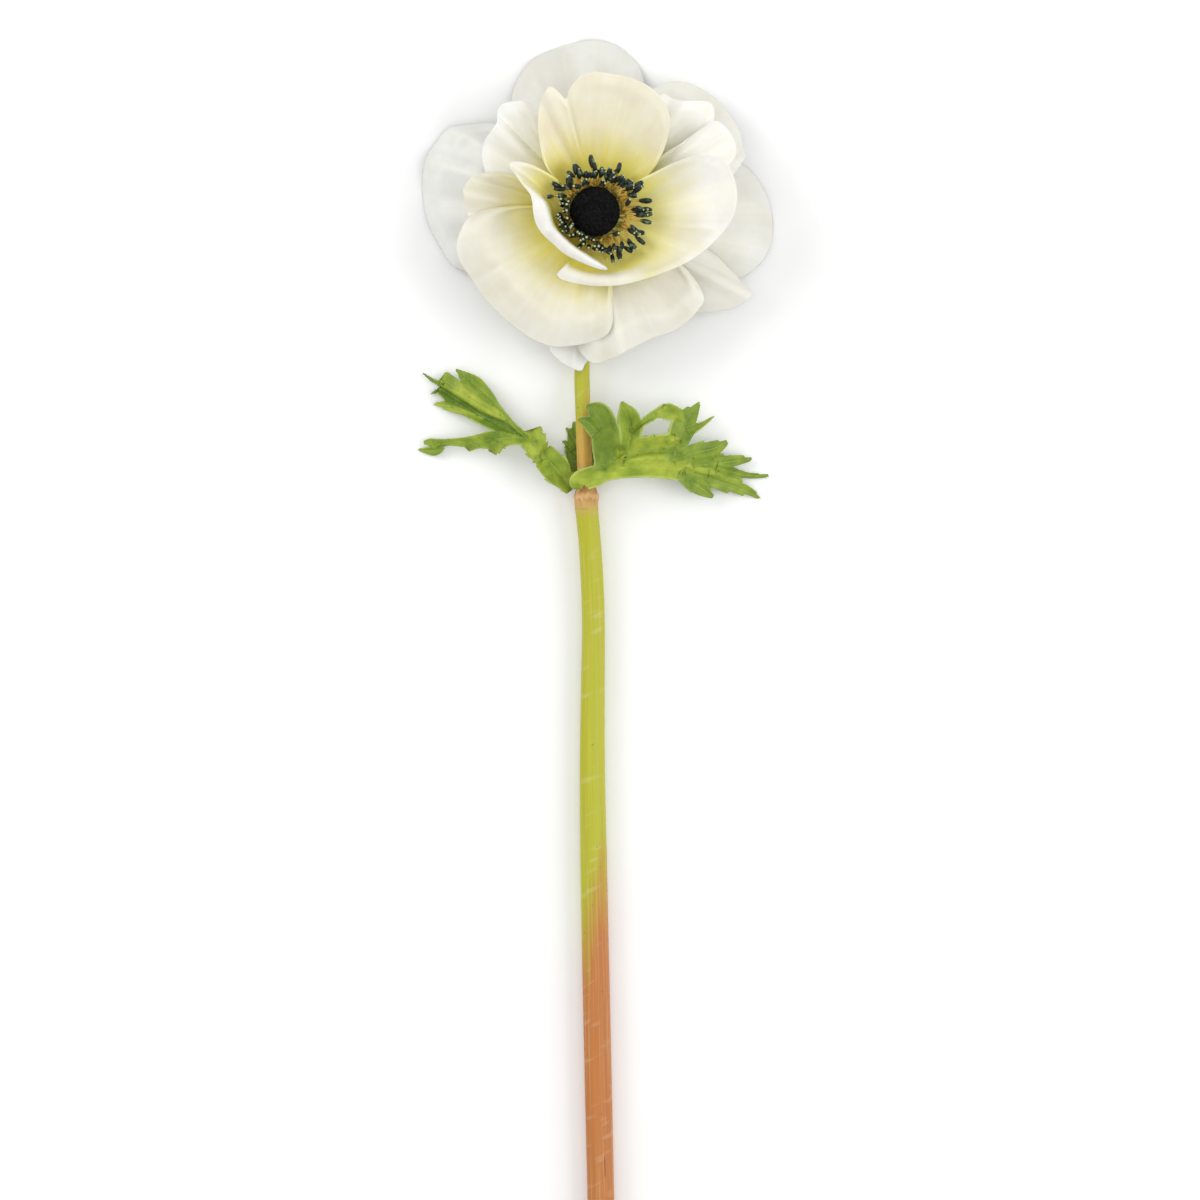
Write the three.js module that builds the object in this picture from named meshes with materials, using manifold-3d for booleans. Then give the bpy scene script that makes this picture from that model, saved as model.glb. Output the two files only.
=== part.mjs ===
// Cut anemone, semi-double and cream white, lying on a flat surface with its face turned up.
// Millimetres. +Z is up, the flower head is at +Y and the cut end of the stem is at -Y.
// The leaf collar is the point that everything grows from: the stems and leaves are placed from it,
// and the head is placed at the end of the upper stem.

import * as THREE from 'three';
import { mergeVertices } from 'three/addons/utils/BufferGeometryUtils.js';
import Module from 'manifold-3d';

const wasm = await Module();
wasm.setup();

// ---- Driving dimensions ----

const clearance = 0.3; // free gap between neighbouring pieces

const lowerStemLength = 216; // from the collar to the cut end
const lowerStemTopRadius = 2.7;
const lowerStemEndRadius = 3.5;
const upperStemReach = 71.5; // from the collar to the middle of the head
const upperStemRadius = 1.9;
const collarRadius = 3.1;
const collarLength = 4.6;
const collarHeight = 5; // of the collar's middle above the surface

const headHeight = 11; // of the lowest petal bases above the surface
const receptacleRadius = 7.6;
const receptacleNeckRadius = 2.4;
const receptacleNeckDepth = 1.4; // neck below the lowest petal
const petalThickness = 0.7;
const domeRadius = 6.1;
const domeHeight = 5.2;

const stamensPerRow = 18;
const filamentRadius = 0.24;
const antherRadius = 0.52;
const antherLength = 2.6;

const leafThickness = 0.7;

// ---- Sizes that follow from them ----

const petalStep = petalThickness + clearance; // from one layer of petals to the next
const petalRoot = receptacleRadius + clearance; // distance from the head's axis where petals start
const topLayer = 6;
const receptacleTop = headHeight + topLayer * petalStep + petalStep;
const receptacleBottom = headHeight - receptacleNeckDepth;
const headX = 2.25; // the head sits a little to one side of the collar

// ---- Colours ----

const finish = (color, roughness) => new THREE.MeshStandardMaterial({ color, roughness, metalness: 0 });
const petalFinish = finish(0xf1ede0, 0.6);
const stemFinish = finish(0xb4bb3a, 0.5);
const collarFinish = finish(0xd7a06e, 0.6);
const receptacleFinish = finish(0xb9c060, 0.7);
const domeFinish = finish(0x141414, 0.95);
const stamenFinish = finish(0x232d28, 0.6);
const leafFinish = finish(0x78a532, 0.55);

const flower = new THREE.Group();

function add(name, geometry, material, parent = flower) {
  const mesh = new THREE.Mesh(geometry, material);
  mesh.name = name;
  parent.add(mesh);
  return mesh;
}

// ---- Geometry helpers ----

// A closed thin body. place(u, v, side) gives the point for u across and v along, both 0 to 1,
// on the upper side (side = 1) or the lower one (side = -1).
function sheet(across, along, place) {
  const geometry = new THREE.BoxGeometry(1, 1, 1, across, along, 1);
  const spots = geometry.attributes.position;
  for (let i = 0; i < spots.count; i += 1) {
    const spot = place(spots.getX(i) + 0.5, spots.getY(i) + 0.5, Math.sign(spots.getZ(i)));
    spots.setXYZ(i, spot.x, spot.y, spot.z);
  }
  geometry.computeVertexNormals();
  return geometry;
}

// A round stalk along a curve. radii holds [share of the length, radius] pairs.
function stalk(curve, radii, sides, steps) {
  const radiusAt = (t) => {
    const next = radii.findIndex(([share]) => share >= t);
    if (next <= 0) return radii[Math.max(next, 0)][1];
    const [t0, r0] = radii[next - 1];
    const [t1, r1] = radii[next];
    return THREE.MathUtils.mapLinear(t, t0, t1, r0, r1);
  };
  const profile = [new THREE.Vector2(0, 0)];
  for (let i = 0; i <= steps; i += 1) {
    profile.push(new THREE.Vector2(radiusAt(i / steps), i / steps));
  }
  profile.push(new THREE.Vector2(0, 1));
  const geometry = new THREE.LatheGeometry(profile, sides);
  const spots = geometry.attributes.position;
  const sideways = new THREE.Vector3(1, 0, 0);
  for (let i = 0; i < spots.count; i += 1) {
    const t = spots.getY(i);
    const ahead = curve.getTangentAt(t);
    const upward = new THREE.Vector3().crossVectors(sideways, ahead).normalize();
    const across = new THREE.Vector3().crossVectors(ahead, upward);
    const spot = curve.getPointAt(t);
    spot.addScaledVector(across, spots.getX(i)).addScaledVector(upward, spots.getZ(i));
    spots.setXYZ(i, spot.x, spot.y, spot.z);
  }
  geometry.computeVertexNormals();
  return geometry;
}

function toSolid(geometry) {
  const bare = geometry.clone();
  bare.deleteAttribute('normal');
  bare.deleteAttribute('uv');
  const merged = mergeVertices(bare);
  return new wasm.Manifold(new wasm.Mesh({
    numProp: 3,
    vertProperties: new Float32Array(merged.attributes.position.array),
    triVerts: new Uint32Array(merged.index.array),
  }));
}

function fromSolid(solid) {
  const { vertProperties, triVerts } = solid.getMesh();
  const geometry = new THREE.BufferGeometry();
  geometry.setAttribute('position', new THREE.BufferAttribute(new Float32Array(vertProperties), 3));
  geometry.setIndex(new THREE.BufferAttribute(new Uint32Array(triVerts), 1));
  geometry.computeVertexNormals();
  return geometry;
}

// ---- Stems and collar ----

// The lower stem lies on the surface and sways slightly. It ends in a plain straight cut.
function lowerStem() {
  const end = lowerStemLength;
  const top = -collarLength / 2 - clearance;
  const lying = lowerStemEndRadius - collarHeight;
  const curve = new THREE.CatmullRomCurve3([
    new THREE.Vector3(4.3, -end - collarLength / 2, lying),
    new THREE.Vector3(3.6, -0.8 * end, lying),
    new THREE.Vector3(2.4, -0.55 * end, lying),
    new THREE.Vector3(1.6, -0.32 * end, lying + 0.1),
    new THREE.Vector3(1.8, -0.13 * end, lying + 0.6),
    new THREE.Vector3(1.1, -0.06 * end, lying + 1),
    new THREE.Vector3(0, top - 3.5, 0),
    new THREE.Vector3(0, top, 0),
  ]);
  const radii = [
    [0, lowerStemEndRadius],
    [0.55, lowerStemEndRadius - 0.15],
    [0.78, lowerStemTopRadius + 0.1],
    [0.95, lowerStemTopRadius],
    [1, lowerStemTopRadius + 0.25],
  ];
  return stalk(curve, radii, 10, 20);
}

// The collar is the swollen ring that the leaves grow from.
function collar() {
  const half = collarLength / 2;
  const profile = [
    [0, -half],
    [collarRadius - 0.25, -half],
    [collarRadius, -0.5],
    [collarRadius, 0.8],
    [collarRadius - 0.4, half],
    [0, half],
  ];
  return new THREE.LatheGeometry(profile.map(([r, y]) => new THREE.Vector2(r, y)), 14);
}

// The upper stem runs low behind the petals and bends up into the receptacle.
function upperStem() {
  const reach = upperStemReach;
  const top = receptacleBottom - clearance - collarHeight;
  const curve = new THREE.CatmullRomCurve3([
    new THREE.Vector3(0, collarLength / 2 + clearance, 0),
    new THREE.Vector3(-0.35, 0.13 * reach, 0),
    new THREE.Vector3(-1, 0.47 * reach, -0.5),
    new THREE.Vector3(-0.3, 0.72 * reach, -0.8),
    new THREE.Vector3(headX - 0.6, reach - 8, -0.6),
    new THREE.Vector3(headX - 0.1, reach - 2.2, top - 3.8),
    new THREE.Vector3(headX, reach, top - 1.5),
    new THREE.Vector3(headX, reach, top),
  ]);
  return stalk(curve, [[0, upperStemRadius + 0.1], [0.3, upperStemRadius], [1, upperStemRadius]], 10, 18);
}

const stemGroup = new THREE.Group();
stemGroup.position.z = collarHeight;
flower.add(stemGroup);
add('lower_stem', lowerStem(), stemFinish, stemGroup);
add('leaf_collar', collar(), collarFinish, stemGroup);
add('upper_stem', upperStem(), stemFinish, stemGroup);

// ---- Head: receptacle and dome ----

const head = new THREE.Group();
head.position.set(headX, upperStemReach, 0);
flower.add(head);

function receptacle() {
  const profile = [
    [0, receptacleBottom],
    [receptacleNeckRadius, receptacleBottom],
    [receptacleRadius - 0.8, headHeight - petalThickness / 2],
    [receptacleRadius, headHeight + petalStep],
    [receptacleRadius, receptacleTop],
    [0, receptacleTop],
  ];
  return new THREE.LatheGeometry(profile.map(([r, z]) => new THREE.Vector2(r, z)), 20);
}

function dome() {
  const floor = receptacleTop + clearance;
  const rings = 6;
  const profile = [new THREE.Vector2(0, floor), new THREE.Vector2(domeRadius - 0.7, floor)];
  for (let i = 0; i <= rings; i += 1) {
    const turn = (i / rings) * Math.PI / 2;
    const height = 1.2 + (domeHeight - 1.2) * Math.sin(turn);
    profile.push(new THREE.Vector2(i === rings ? 0 : domeRadius * Math.cos(turn), floor + height));
  }
  return new THREE.LatheGeometry(profile, 18);
}

// A lathe turns about Y, and the head's axis is Z.
const upright = new THREE.Group();
upright.rotation.x = Math.PI / 2;
head.add(upright);
add('receptacle', receptacle(), receptacleFinish, upright);
add('pistil_dome', dome(), domeFinish, upright);

// ---- Petals ----

// Each petal is a curved fan. It spans the directions from..to, in degrees about the head's axis
// with 0 at +X. reach gives how far its edge stands from the axis, at even steps across the span.
// layer counts up from the lowest petals, and rise is how much higher it gets by riseSpan from its
// root. A petal with onSurface droops until its tip rests on the surface.
const riseSpan = 38;
const petals = [
  { name: 'petal_top_outer', from: 58, to: 130.5, layer: 0, onSurface: true,
    reach: [11, 31, 40, 43, 43.4, 42.6, 40.5, 37.2, 24] },
  { name: 'petal_left_outer', from: 131.5, to: 214, layer: 0, onSurface: true,
    reach: [20, 36.5, 43, 44.4, 43.4, 41.3, 38.8, 35, 11] },
  { name: 'petal_right_outer', from: -38, to: 34, layer: 0, onSurface: true,
    reach: [11, 33, 41.3, 44.9, 44.8, 43.4, 41.6, 33, 11] },
  { name: 'petal_bottom_back', from: 236, to: 284, layer: 0, rise: -3,
    reach: [11, 30, 35, 37.8, 39.3, 37, 30, 11] },
  { name: 'petal_upper_right_outer', from: 6, to: 76, layer: 1, rise: -5,
    reach: [11, 35, 40.7, 42, 42.3, 41.4, 39.3, 32, 11] },
  { name: 'petal_lower_right_outer', from: -62, to: -12, layer: 1, rise: -5,
    reach: [11, 25, 32, 38, 42.3, 44.3, 34, 11] },
  { name: 'petal_upper_left_inner', from: 108, to: 172, layer: 1, rise: 6,
    reach: [11, 26, 33.5, 35.3, 33.5, 33, 30.5, 27, 11] },
  { name: 'petal_bottom_right', from: -112, to: -26, layer: 2, rise: 1,
    reach: [11, 32, 37.2, 36, 34.8, 35.3, 35.6, 32, 11] },
  { name: 'petal_left_inner', from: 150, to: 206, layer: 2, rise: 7,
    reach: [11, 27, 33, 32.8, 31.6, 30, 24, 11] },
  { name: 'petal_upper_right_middle', from: 28, to: 70, layer: 2, rise: 6,
    reach: [11, 33, 39.5, 37, 34.4, 31, 11] },
  { name: 'petal_upper_right_inner', from: 8, to: 46, layer: 3, rise: 8,
    reach: [11, 31, 38, 39, 38.6, 34, 11] },
  { name: 'petal_lower_left_outer', from: 174, to: 288, layer: 3, rise: 7,
    reach: [11, 34.2, 35.9, 35, 35.2, 35.3, 34, 31, 11] },
  { name: 'petal_top_inner', from: 37, to: 144, layer: 4, rise: 20,
    reach: [11, 25.3, 32.2, 34, 34.4, 31, 29.8, 20.5, 10.5] },
  { name: 'petal_right_inner', from: -124, to: 36, layer: 5, rise: 15,
    reach: [16.5, 18.3, 19, 19.8, 22.5, 27.6, 34, 35.6, 13] },
  { name: 'petal_lower_left_inner', from: 146, to: 282, layer: topLayer, rise: 0, standing: 12,
    reach: [22, 17.2, 15.6, 14.5, 13.8, 13.5, 13.7, 14.2, 13.5] },
];

// Share of the rise that a petal has at a distance from its root: slow at first, then faster.
const riseShare = (distance) => {
  const share = distance / riseSpan;
  return 0.25 * share + 0.75 * share * share;
};

function petal({ from, to, layer, rise = 0, reach, onSurface = false, standing = 0 }) {
  const edge = new THREE.SplineCurve(reach.map((r, i) => new THREE.Vector2(
    THREE.MathUtils.lerp(from, to, i / (reach.length - 1)),
    r - petalRoot,
  )));
  const longest = Math.max(...reach) - petalRoot;
  const root = headHeight + layer * petalStep;
  const start = petalRoot + (standing ? petalThickness / 2 : 0);
  const tipRise = onSurface ? -(root - petalThickness) / riseShare(longest) : rise;
  // One point of the petal's middle surface, in the upright plane through the head's axis.
  const section = (length, v) => new THREE.Vector2(
    start + length * v,
    root + tipRise * riseShare(length * v) + standing * Math.sin(v * Math.PI / 2),
  );
  return sheet(10, 4, (u, v, side) => {
    const spot = edge.getPoint(1 - u);
    const here = section(spot.y, v);
    const ahead = section(spot.y, v + 0.01).sub(section(spot.y, v - 0.01)).normalize();
    const offset = side * petalThickness / 2;
    const distance = here.x - offset * ahead.y;
    const direction = THREE.MathUtils.degToRad(spot.x);
    return new THREE.Vector3(
      distance * Math.cos(direction),
      distance * Math.sin(direction),
      here.y + offset * ahead.x,
    );
  });
}

petals.forEach((shape) => add(shape.name, petal(shape), petalFinish, head));

// ---- Stamens ----

// Two rows stand round the dome on the receptacle. Behind the standing petal they stay upright.
const standingPetal = petals.find(({ standing }) => standing);
const rows = [
  { root: domeRadius + filamentRadius + clearance, tip: 9.4, height: 5.6, turn: 0 },
  { root: receptacleRadius - filamentRadius, tip: 12.3, height: 4.2, turn: 0.5 },
];

function stamen(length) {
  const anther = length - antherLength;
  const profile = [
    [0, 0],
    [filamentRadius, 0],
    [filamentRadius, anther],
    [antherRadius, anther + 0.25 * antherLength],
    [antherRadius, anther + 0.7 * antherLength],
    [0, length],
  ];
  return new THREE.LatheGeometry(profile.map(([r, y]) => new THREE.Vector2(r, y)), 6);
}

const lowestDirection = (standingPetal.from - 8) * Math.PI / 180;
const highestDirection = (standingPetal.to + 8) * Math.PI / 180;
rows.forEach(({ root, tip, height, turn }, row) => {
  for (let i = 0; i < stamensPerRow; i += 1) {
    const direction = ((i + turn) / stamensPerRow) * 2 * Math.PI;
    const crowded = direction > lowestDirection && direction < highestDirection;
    const outward = crowded ? root + 0.6 + 0.5 * row : tip + 0.5 * Math.sin(5 * direction);
    const foot = new THREE.Vector3(root, 0, receptacleTop + clearance);
    const top = new THREE.Vector3(outward, 0, receptacleTop + clearance + height);
    const lean = top.sub(foot);
    const number = String(row * stamensPerRow + i + 1).padStart(2, '0');
    const mesh = add(`stamen_${number}`, stamen(lean.length()), stamenFinish, head);
    const axis = new THREE.Vector3(0, 0, 1);
    foot.applyAxisAngle(axis, direction);
    lean.applyAxisAngle(axis, direction);
    mesh.position.copy(foot);
    mesh.quaternion.setFromUnitVectors(new THREE.Vector3(0, 1, 0), lean.normalize());
  }
});

// ---- Leaves ----

// A leaf is made of lobes joined into one body. Each lobe is a flat blade along a line of points,
// given from the middle of the collar, with its half width at each point.
function lobe({ path, half }) {
  const line = new THREE.CatmullRomCurve3(path.map((point) => new THREE.Vector3(...point)));
  const widths = new THREE.SplineCurve(half.map((w, i) => new THREE.Vector2(i, w)));
  const up = new THREE.Vector3(0, 0, 1);
  return sheet(1, 2 * path.length - 1, (u, v, side) => {
    const ahead = line.getTangent(v);
    const across = new THREE.Vector3().crossVectors(ahead, up).normalize();
    const spot = line.getPoint(v).addScaledVector(across, (2 * u - 1) * widths.getPoint(v).y);
    spot.z += side * leafThickness / 2;
    return spot;
  });
}

function leaf(lobes) {
  return fromSolid(lobes.map((shape) => toSolid(lobe(shape))).reduce((whole, part) => whole.add(part)));
}

// Heights, from the collar's middle, at which a leaf lies on the surface, on the collar or under it.
const low = leafThickness / 2 - collarHeight;
const over = collarRadius + clearance + leafThickness / 2;
const under = -over;

const leftLeaf = [
  { path: [[-3.9, 2.4, 0], [-7.5, 7.3, 2], [-11.1, 11.6, 2.5]], half: [0.5, 2.7, 2.2] },
  { path: [[-11.3, 9.5, 2.4], [-12.8, 13.5, 2.7], [-14, 17.2, 2.3]], half: [1.6, 2.7, 2.3] },
  { path: [[-12.5, 14, 2.5], [-21.8, 22.4, 1.7], [-28, 28.5, 0.2], [-32.8, 32.7, -2]],
    half: [1.2, 0.9, 2, 0.3] },
  { path: [[-20.5, 20.4, 1.9], [-26, 22.6, 0.9], [-31, 26, -0.9], [-36.8, 29.8, -3.2]],
    half: [0.7, 2.2, 2.6, 1.9] },
  { path: [[-15, 15, 2.1], [-24, 20.2, 0.2], [-36.9, 28, -3.7]], half: [0.8, 1.8, 0.8] },
  { path: [[-26, 20.5, -0.2], [-33.1, 23.4, -2.5], [-38.3, 24, low]], half: [0.9, 1.4, 0.3] },
  { path: [[-36, 29, -3], [-38.5, 29.8, -3.8], [-41, 31.6, low]], half: [0.6, 0.4, 0.3] },
  { path: [[-13.5, 14.5, 2.3], [-23.5, 14.7, 1.1], [-34.3, 14.2, -1.6], [-38.5, 13.5, -3.2]],
    half: [1.4, 2.6, 0.9, 1.6] },
  { path: [[-22, 14.2, 1.2], [-23.5, 11.6, 0]], half: [1.8, 1.2] },
  { path: [[-28.5, 14, 0.2], [-30, 12.4, -1]], half: [1.6, 0.8] },
  { path: [[-37.6, 13.6, -2.9], [-42.2, 12.4, low]], half: [1.2, 0.3] },
];

const rightLeaf = [
  { path: [[-1.9, 3.6, over], [3.5, 6, over + 0.3], [14.6, 8.2, 3.2], [31, 6.8, -0.4]],
    half: [1.6, 2.6, 3.4, 2.4] },
  { path: [[4.8, 7, 4], [5, 12, 5.5], [4.3, 17.5, 7.5], [0.4, 23.1, 7.6]], half: [2.6, 3.5, 3.3, 0.8] },
  { path: [[3, 16.6, 7.4], [-1.9, 19.6, 6.2]], half: [2.2, 0.4] },
  { path: [[9, 8.5, 3.6], [11, 15.5, 4.7], [10.6, 20.3, 5.6], [8.9, 24.2, 5]], half: [2, 2.7, 2.6, 0.6] },
  { path: [[11.8, 17, 4.6], [14.5, 19.5, 4.2], [20.6, 22.6, 2.6]], half: [1.6, 1.1, 1.6] },
  { path: [[22, 9.5, 2.3], [23.6, 15, 2.1], [25.5, 20, 1.5], [28.4, 24.3, 0.6]],
    half: [2, 2.7, 2.6, 0.4] },
  { path: [[25.4, 17, 1.7], [29, 18.7, 0.9], [32.1, 20.7, 0.1]], half: [1.4, 0.7, 0.3] },
  { path: [[22, 9.8, 2], [28, 11.7, 1.2], [35.4, 14.2, -1.2]], half: [2, 2.4, 0.8] },
  { path: [[27, 8.3, 0.6], [35, 9.2, -1.6], [41.6, 10, -3.6]], half: [2.2, 2.2, 0.5] },
  { path: [[34, 8, -1.7], [40.5, 6, -3.4], [45.8, 6, low]], half: [1.6, 0.8, 0.3] },
  { path: [[25, 7.6, 0.9], [33.8, 4.4, -1.4], [43.8, 0.4, low]], half: [2.4, 2.3, 0.3] },
  { path: [[24, 6.6, 1.1], [28.5, 3.2, 0], [31.8, 0.6, -1.4]], half: [2, 2.2, 0.6] },
];

const backLeaf = [
  { path: [[0, 1.5, under], [-1.2, 8.5, under - 0.2], [-3, 19.5, low]], half: [1.2, 3.4, 0.5] },
  { path: [[-1, 10, under - 0.1], [-5.9, 14.7, low]], half: [2, 0.4] },
  { path: [[-2, 13, under - 0.2], [-5, 18, low]], half: [1.4, 0.4] },
  { path: [[0, 10, under - 0.1], [3.4, 14.5, low]], half: [2, 0.4] },
];

add('leaf_left', leaf(leftLeaf), leafFinish, stemGroup);
add('leaf_right', leaf(rightLeaf), leafFinish, stemGroup);
add('leaf_back', leaf(backLeaf), leafFinish, stemGroup);

// The origin is under the middle of the whole flower, on the surface.
const bounds = new THREE.Box3().setFromObject(flower);
const middle = bounds.getCenter(new THREE.Vector3());
flower.position.set(-middle.x, -middle.y, -bounds.min.z);

export default flower;
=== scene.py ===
import math

import bpy
import numpy as np
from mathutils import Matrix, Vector
from mathutils.geometry import delaunay_2d_cdt


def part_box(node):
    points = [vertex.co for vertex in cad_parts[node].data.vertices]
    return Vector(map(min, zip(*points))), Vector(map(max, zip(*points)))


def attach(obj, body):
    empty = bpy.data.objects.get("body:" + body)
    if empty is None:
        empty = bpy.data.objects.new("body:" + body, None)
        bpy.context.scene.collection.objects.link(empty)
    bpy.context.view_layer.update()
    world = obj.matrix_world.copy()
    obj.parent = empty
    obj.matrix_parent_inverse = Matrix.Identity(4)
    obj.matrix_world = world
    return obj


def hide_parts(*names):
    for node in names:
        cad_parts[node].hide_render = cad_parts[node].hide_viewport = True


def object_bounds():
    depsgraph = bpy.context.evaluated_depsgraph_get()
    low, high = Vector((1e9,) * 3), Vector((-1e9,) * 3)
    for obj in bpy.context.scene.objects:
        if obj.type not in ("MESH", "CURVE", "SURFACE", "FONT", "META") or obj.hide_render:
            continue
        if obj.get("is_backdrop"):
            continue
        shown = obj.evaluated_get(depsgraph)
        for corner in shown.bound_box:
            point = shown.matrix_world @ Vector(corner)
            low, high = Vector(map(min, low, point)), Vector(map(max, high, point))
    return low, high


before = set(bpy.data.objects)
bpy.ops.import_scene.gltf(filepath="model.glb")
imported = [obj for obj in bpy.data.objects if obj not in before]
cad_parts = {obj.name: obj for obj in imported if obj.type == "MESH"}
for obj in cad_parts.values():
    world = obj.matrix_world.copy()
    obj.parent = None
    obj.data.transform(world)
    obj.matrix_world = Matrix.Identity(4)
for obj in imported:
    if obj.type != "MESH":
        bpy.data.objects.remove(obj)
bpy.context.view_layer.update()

MM = 0.001

# ---- Table, light and camera ----
# The flower lies on a plain pale table with its face up, under soft light from both sides.
# The camera hangs far above it and looks straight down, so nothing is drawn out of shape.

dome_low, dome_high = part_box("pistil_dome")
head_x = (dome_low.x + dome_high.x) / 2
head_y = (dome_low.y + dome_high.y) / 2

camera_distance = 1.6
field_width = 0.3
camera = bpy.data.objects.new("camera", bpy.data.cameras.new("camera"))
bpy.context.collection.objects.link(camera)
camera.location = (head_x + 1.25 * MM, head_y - 97 * MM, dome_low.z + camera_distance)
camera.data.sensor_width = 36
camera.data.lens = camera.data.sensor_width * camera_distance / field_width
bpy.context.scene.camera = camera
bpy.context.scene.view_settings.view_transform = "Standard"

world = bpy.data.worlds.new("room")
world.use_nodes = True
world.node_tree.nodes["Background"].inputs["Color"].default_value = (0.98, 0.99, 1, 1)
world.node_tree.nodes["Background"].inputs["Strength"].default_value = 0.56
bpy.context.scene.world = world


def lamp(name, place, size, power, aim=(0, 0, 0)):
    light = bpy.data.lights.new(name, "AREA")
    light.size = size
    light.energy = power
    holder = bpy.data.objects.new(name, light)
    bpy.context.collection.objects.link(holder)
    holder.location = place
    holder.rotation_euler = (Vector(aim) - Vector(place)).to_track_quat("-Z", "Y").to_euler()


lamp("window_left", (-0.85, 0.55, 0.7), 0.7, 5.6, aim=(head_x, head_y, 0))
lamp("window_right", (0.95, 0.05, 0.75), 0.8, 6.2, aim=(head_x, head_y, 0))
lamp("sky_panel", (0, -0.1, 1.9), 1.5, 7.8)


def new_material(name):
    material = bpy.data.materials.new(name)
    material.use_nodes = True
    return material, material.node_tree


def feed(tree, entry, thing):
    """Sets a socket to a plain value, or links it to the output that drives it."""
    if isinstance(thing, bpy.types.NodeSocket):
        tree.links.new(thing, entry)
    elif entry.type == "RGBA":
        entry.default_value = (*thing, 1)
    else:
        entry.default_value = thing


def finish(material, **looks):
    """Sets the sockets of the surface, each to a plain value or to what drives it."""
    surface = material.node_tree.nodes["Principled BSDF"]
    for label, look in looks.items():
        feed(material.node_tree, surface.inputs[label.replace("_", " ")], look)


def noise(tree, scale, detail=2, place=None):
    """Uneven spots that stay fixed to the piece, from 0 to 1."""
    spots = tree.nodes.new("ShaderNodeTexNoise")
    spots.inputs["Scale"].default_value = scale
    spots.inputs["Detail"].default_value = detail
    if place is None:
        place = tree.nodes.new("ShaderNodeTexCoord").outputs["Object"]
    tree.links.new(place, spots.inputs["Vector"])
    return spots.outputs["Fac"]


def ramp(tree, source, *stops):
    """Turns a value into the greys or colours given at its stops."""
    node = tree.nodes.new("ShaderNodeValToRGB")
    band = node.color_ramp
    while len(band.elements) < len(stops):
        band.elements.new(0.5)
    for element, (position, tone) in zip(band.elements, stops):
        element.position = position
        element.color = (*tone, 1) if isinstance(tone, tuple) else (tone, tone, tone, 1)
    tree.links.new(source, node.inputs["Fac"])
    return node.outputs["Color"]


table_finish, tree = new_material("table_finish")
paper = ramp(tree, noise(tree, 60), (0, (0.93, 0.93, 0.92)), (1, (0.96, 0.96, 0.955)))
finish(table_finish, Base_Color=paper, Roughness=0.9)

table_mesh = bpy.data.meshes.new("table")
table_half = 3
table_mesh.from_pydata(
    [(-table_half, -table_half, 0), (table_half, -table_half, 0),
     (table_half, table_half, 0), (-table_half, table_half, 0)], [], [(0, 1, 2, 3)])
table = bpy.data.objects.new("table", table_mesh)
bpy.context.collection.objects.link(table)
table.data.materials.append(table_finish)
table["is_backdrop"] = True

# ---- Lower stem ----
# The thick bare stem is one round, faintly ridged stalk that ends in a plain straight cut.
# It is yellow green by the leaves and turns salmon brown towards the cut, with pale scuffs.


def spline(points, t):
    """Points of a smooth curve through evenly spaced points, at t from 0 to 1."""
    points = np.asarray(points, float)
    if points.ndim == 1:
        return spline(points[:, None], t)[..., 0]
    last = len(points) - 1
    t = np.clip(np.asarray(t, float), 0, 1) * last
    i = np.minimum(t.astype(int), last - 1)
    f = (t - i)[..., None]
    before = points[np.maximum(i - 1, 0)]
    here = points[i]
    after = points[i + 1]
    beyond = points[np.minimum(i + 2, last)]
    return 0.5 * (2 * here + (after - before) * f
                  + (2 * before - 5 * here + 4 * after - beyond) * f ** 2
                  + (3 * here - before - 3 * after + beyond) * f ** 3)


def smooth_step(low, high, value):
    t = np.clip((value - low) / (high - low), 0, 1)
    return t * t * (3 - 2 * t)


def waves(x, y, seed, count=7):
    """A gentle uneven swell, about -1 to 1, made of a few crossing waves."""
    dice = np.random.default_rng(seed)
    total = 0
    for _ in range(count):
        angle = dice.uniform(0, 2 * math.pi)
        phase = dice.uniform(0, 2 * math.pi)
        pitch = dice.uniform(0.6, 1.7)
        total = total + np.sin(pitch * (x * math.cos(angle) + y * math.sin(angle)) + phase)
    return total / (0.62 * count)


def finished_mesh(name, corners, faces, uvs=None, material=None, extra=None):
    """Makes an object with smooth faces, a UV for each corner and any named values."""
    mesh = bpy.data.meshes.new(name)
    mesh.from_pydata([tuple(c) for c in corners], [], [tuple(int(i) for i in f) for f in faces])
    mesh.polygons.foreach_set("use_smooth", np.ones(len(mesh.polygons), bool))
    if uvs is not None:
        layer = mesh.uv_layers.new(name="surface")
        layer.data.foreach_set("uv", np.asarray(uvs, np.float32).ravel())
    for label, values in (extra or {}).items():
        column = mesh.attributes.new(label, "FLOAT", "POINT")
        column.data.foreach_set("value", np.asarray(values, np.float32).ravel())
    piece = bpy.data.objects.new(name, mesh)
    bpy.context.collection.objects.link(piece)
    if material:
        mesh.materials.append(material)
    return piece


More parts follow.
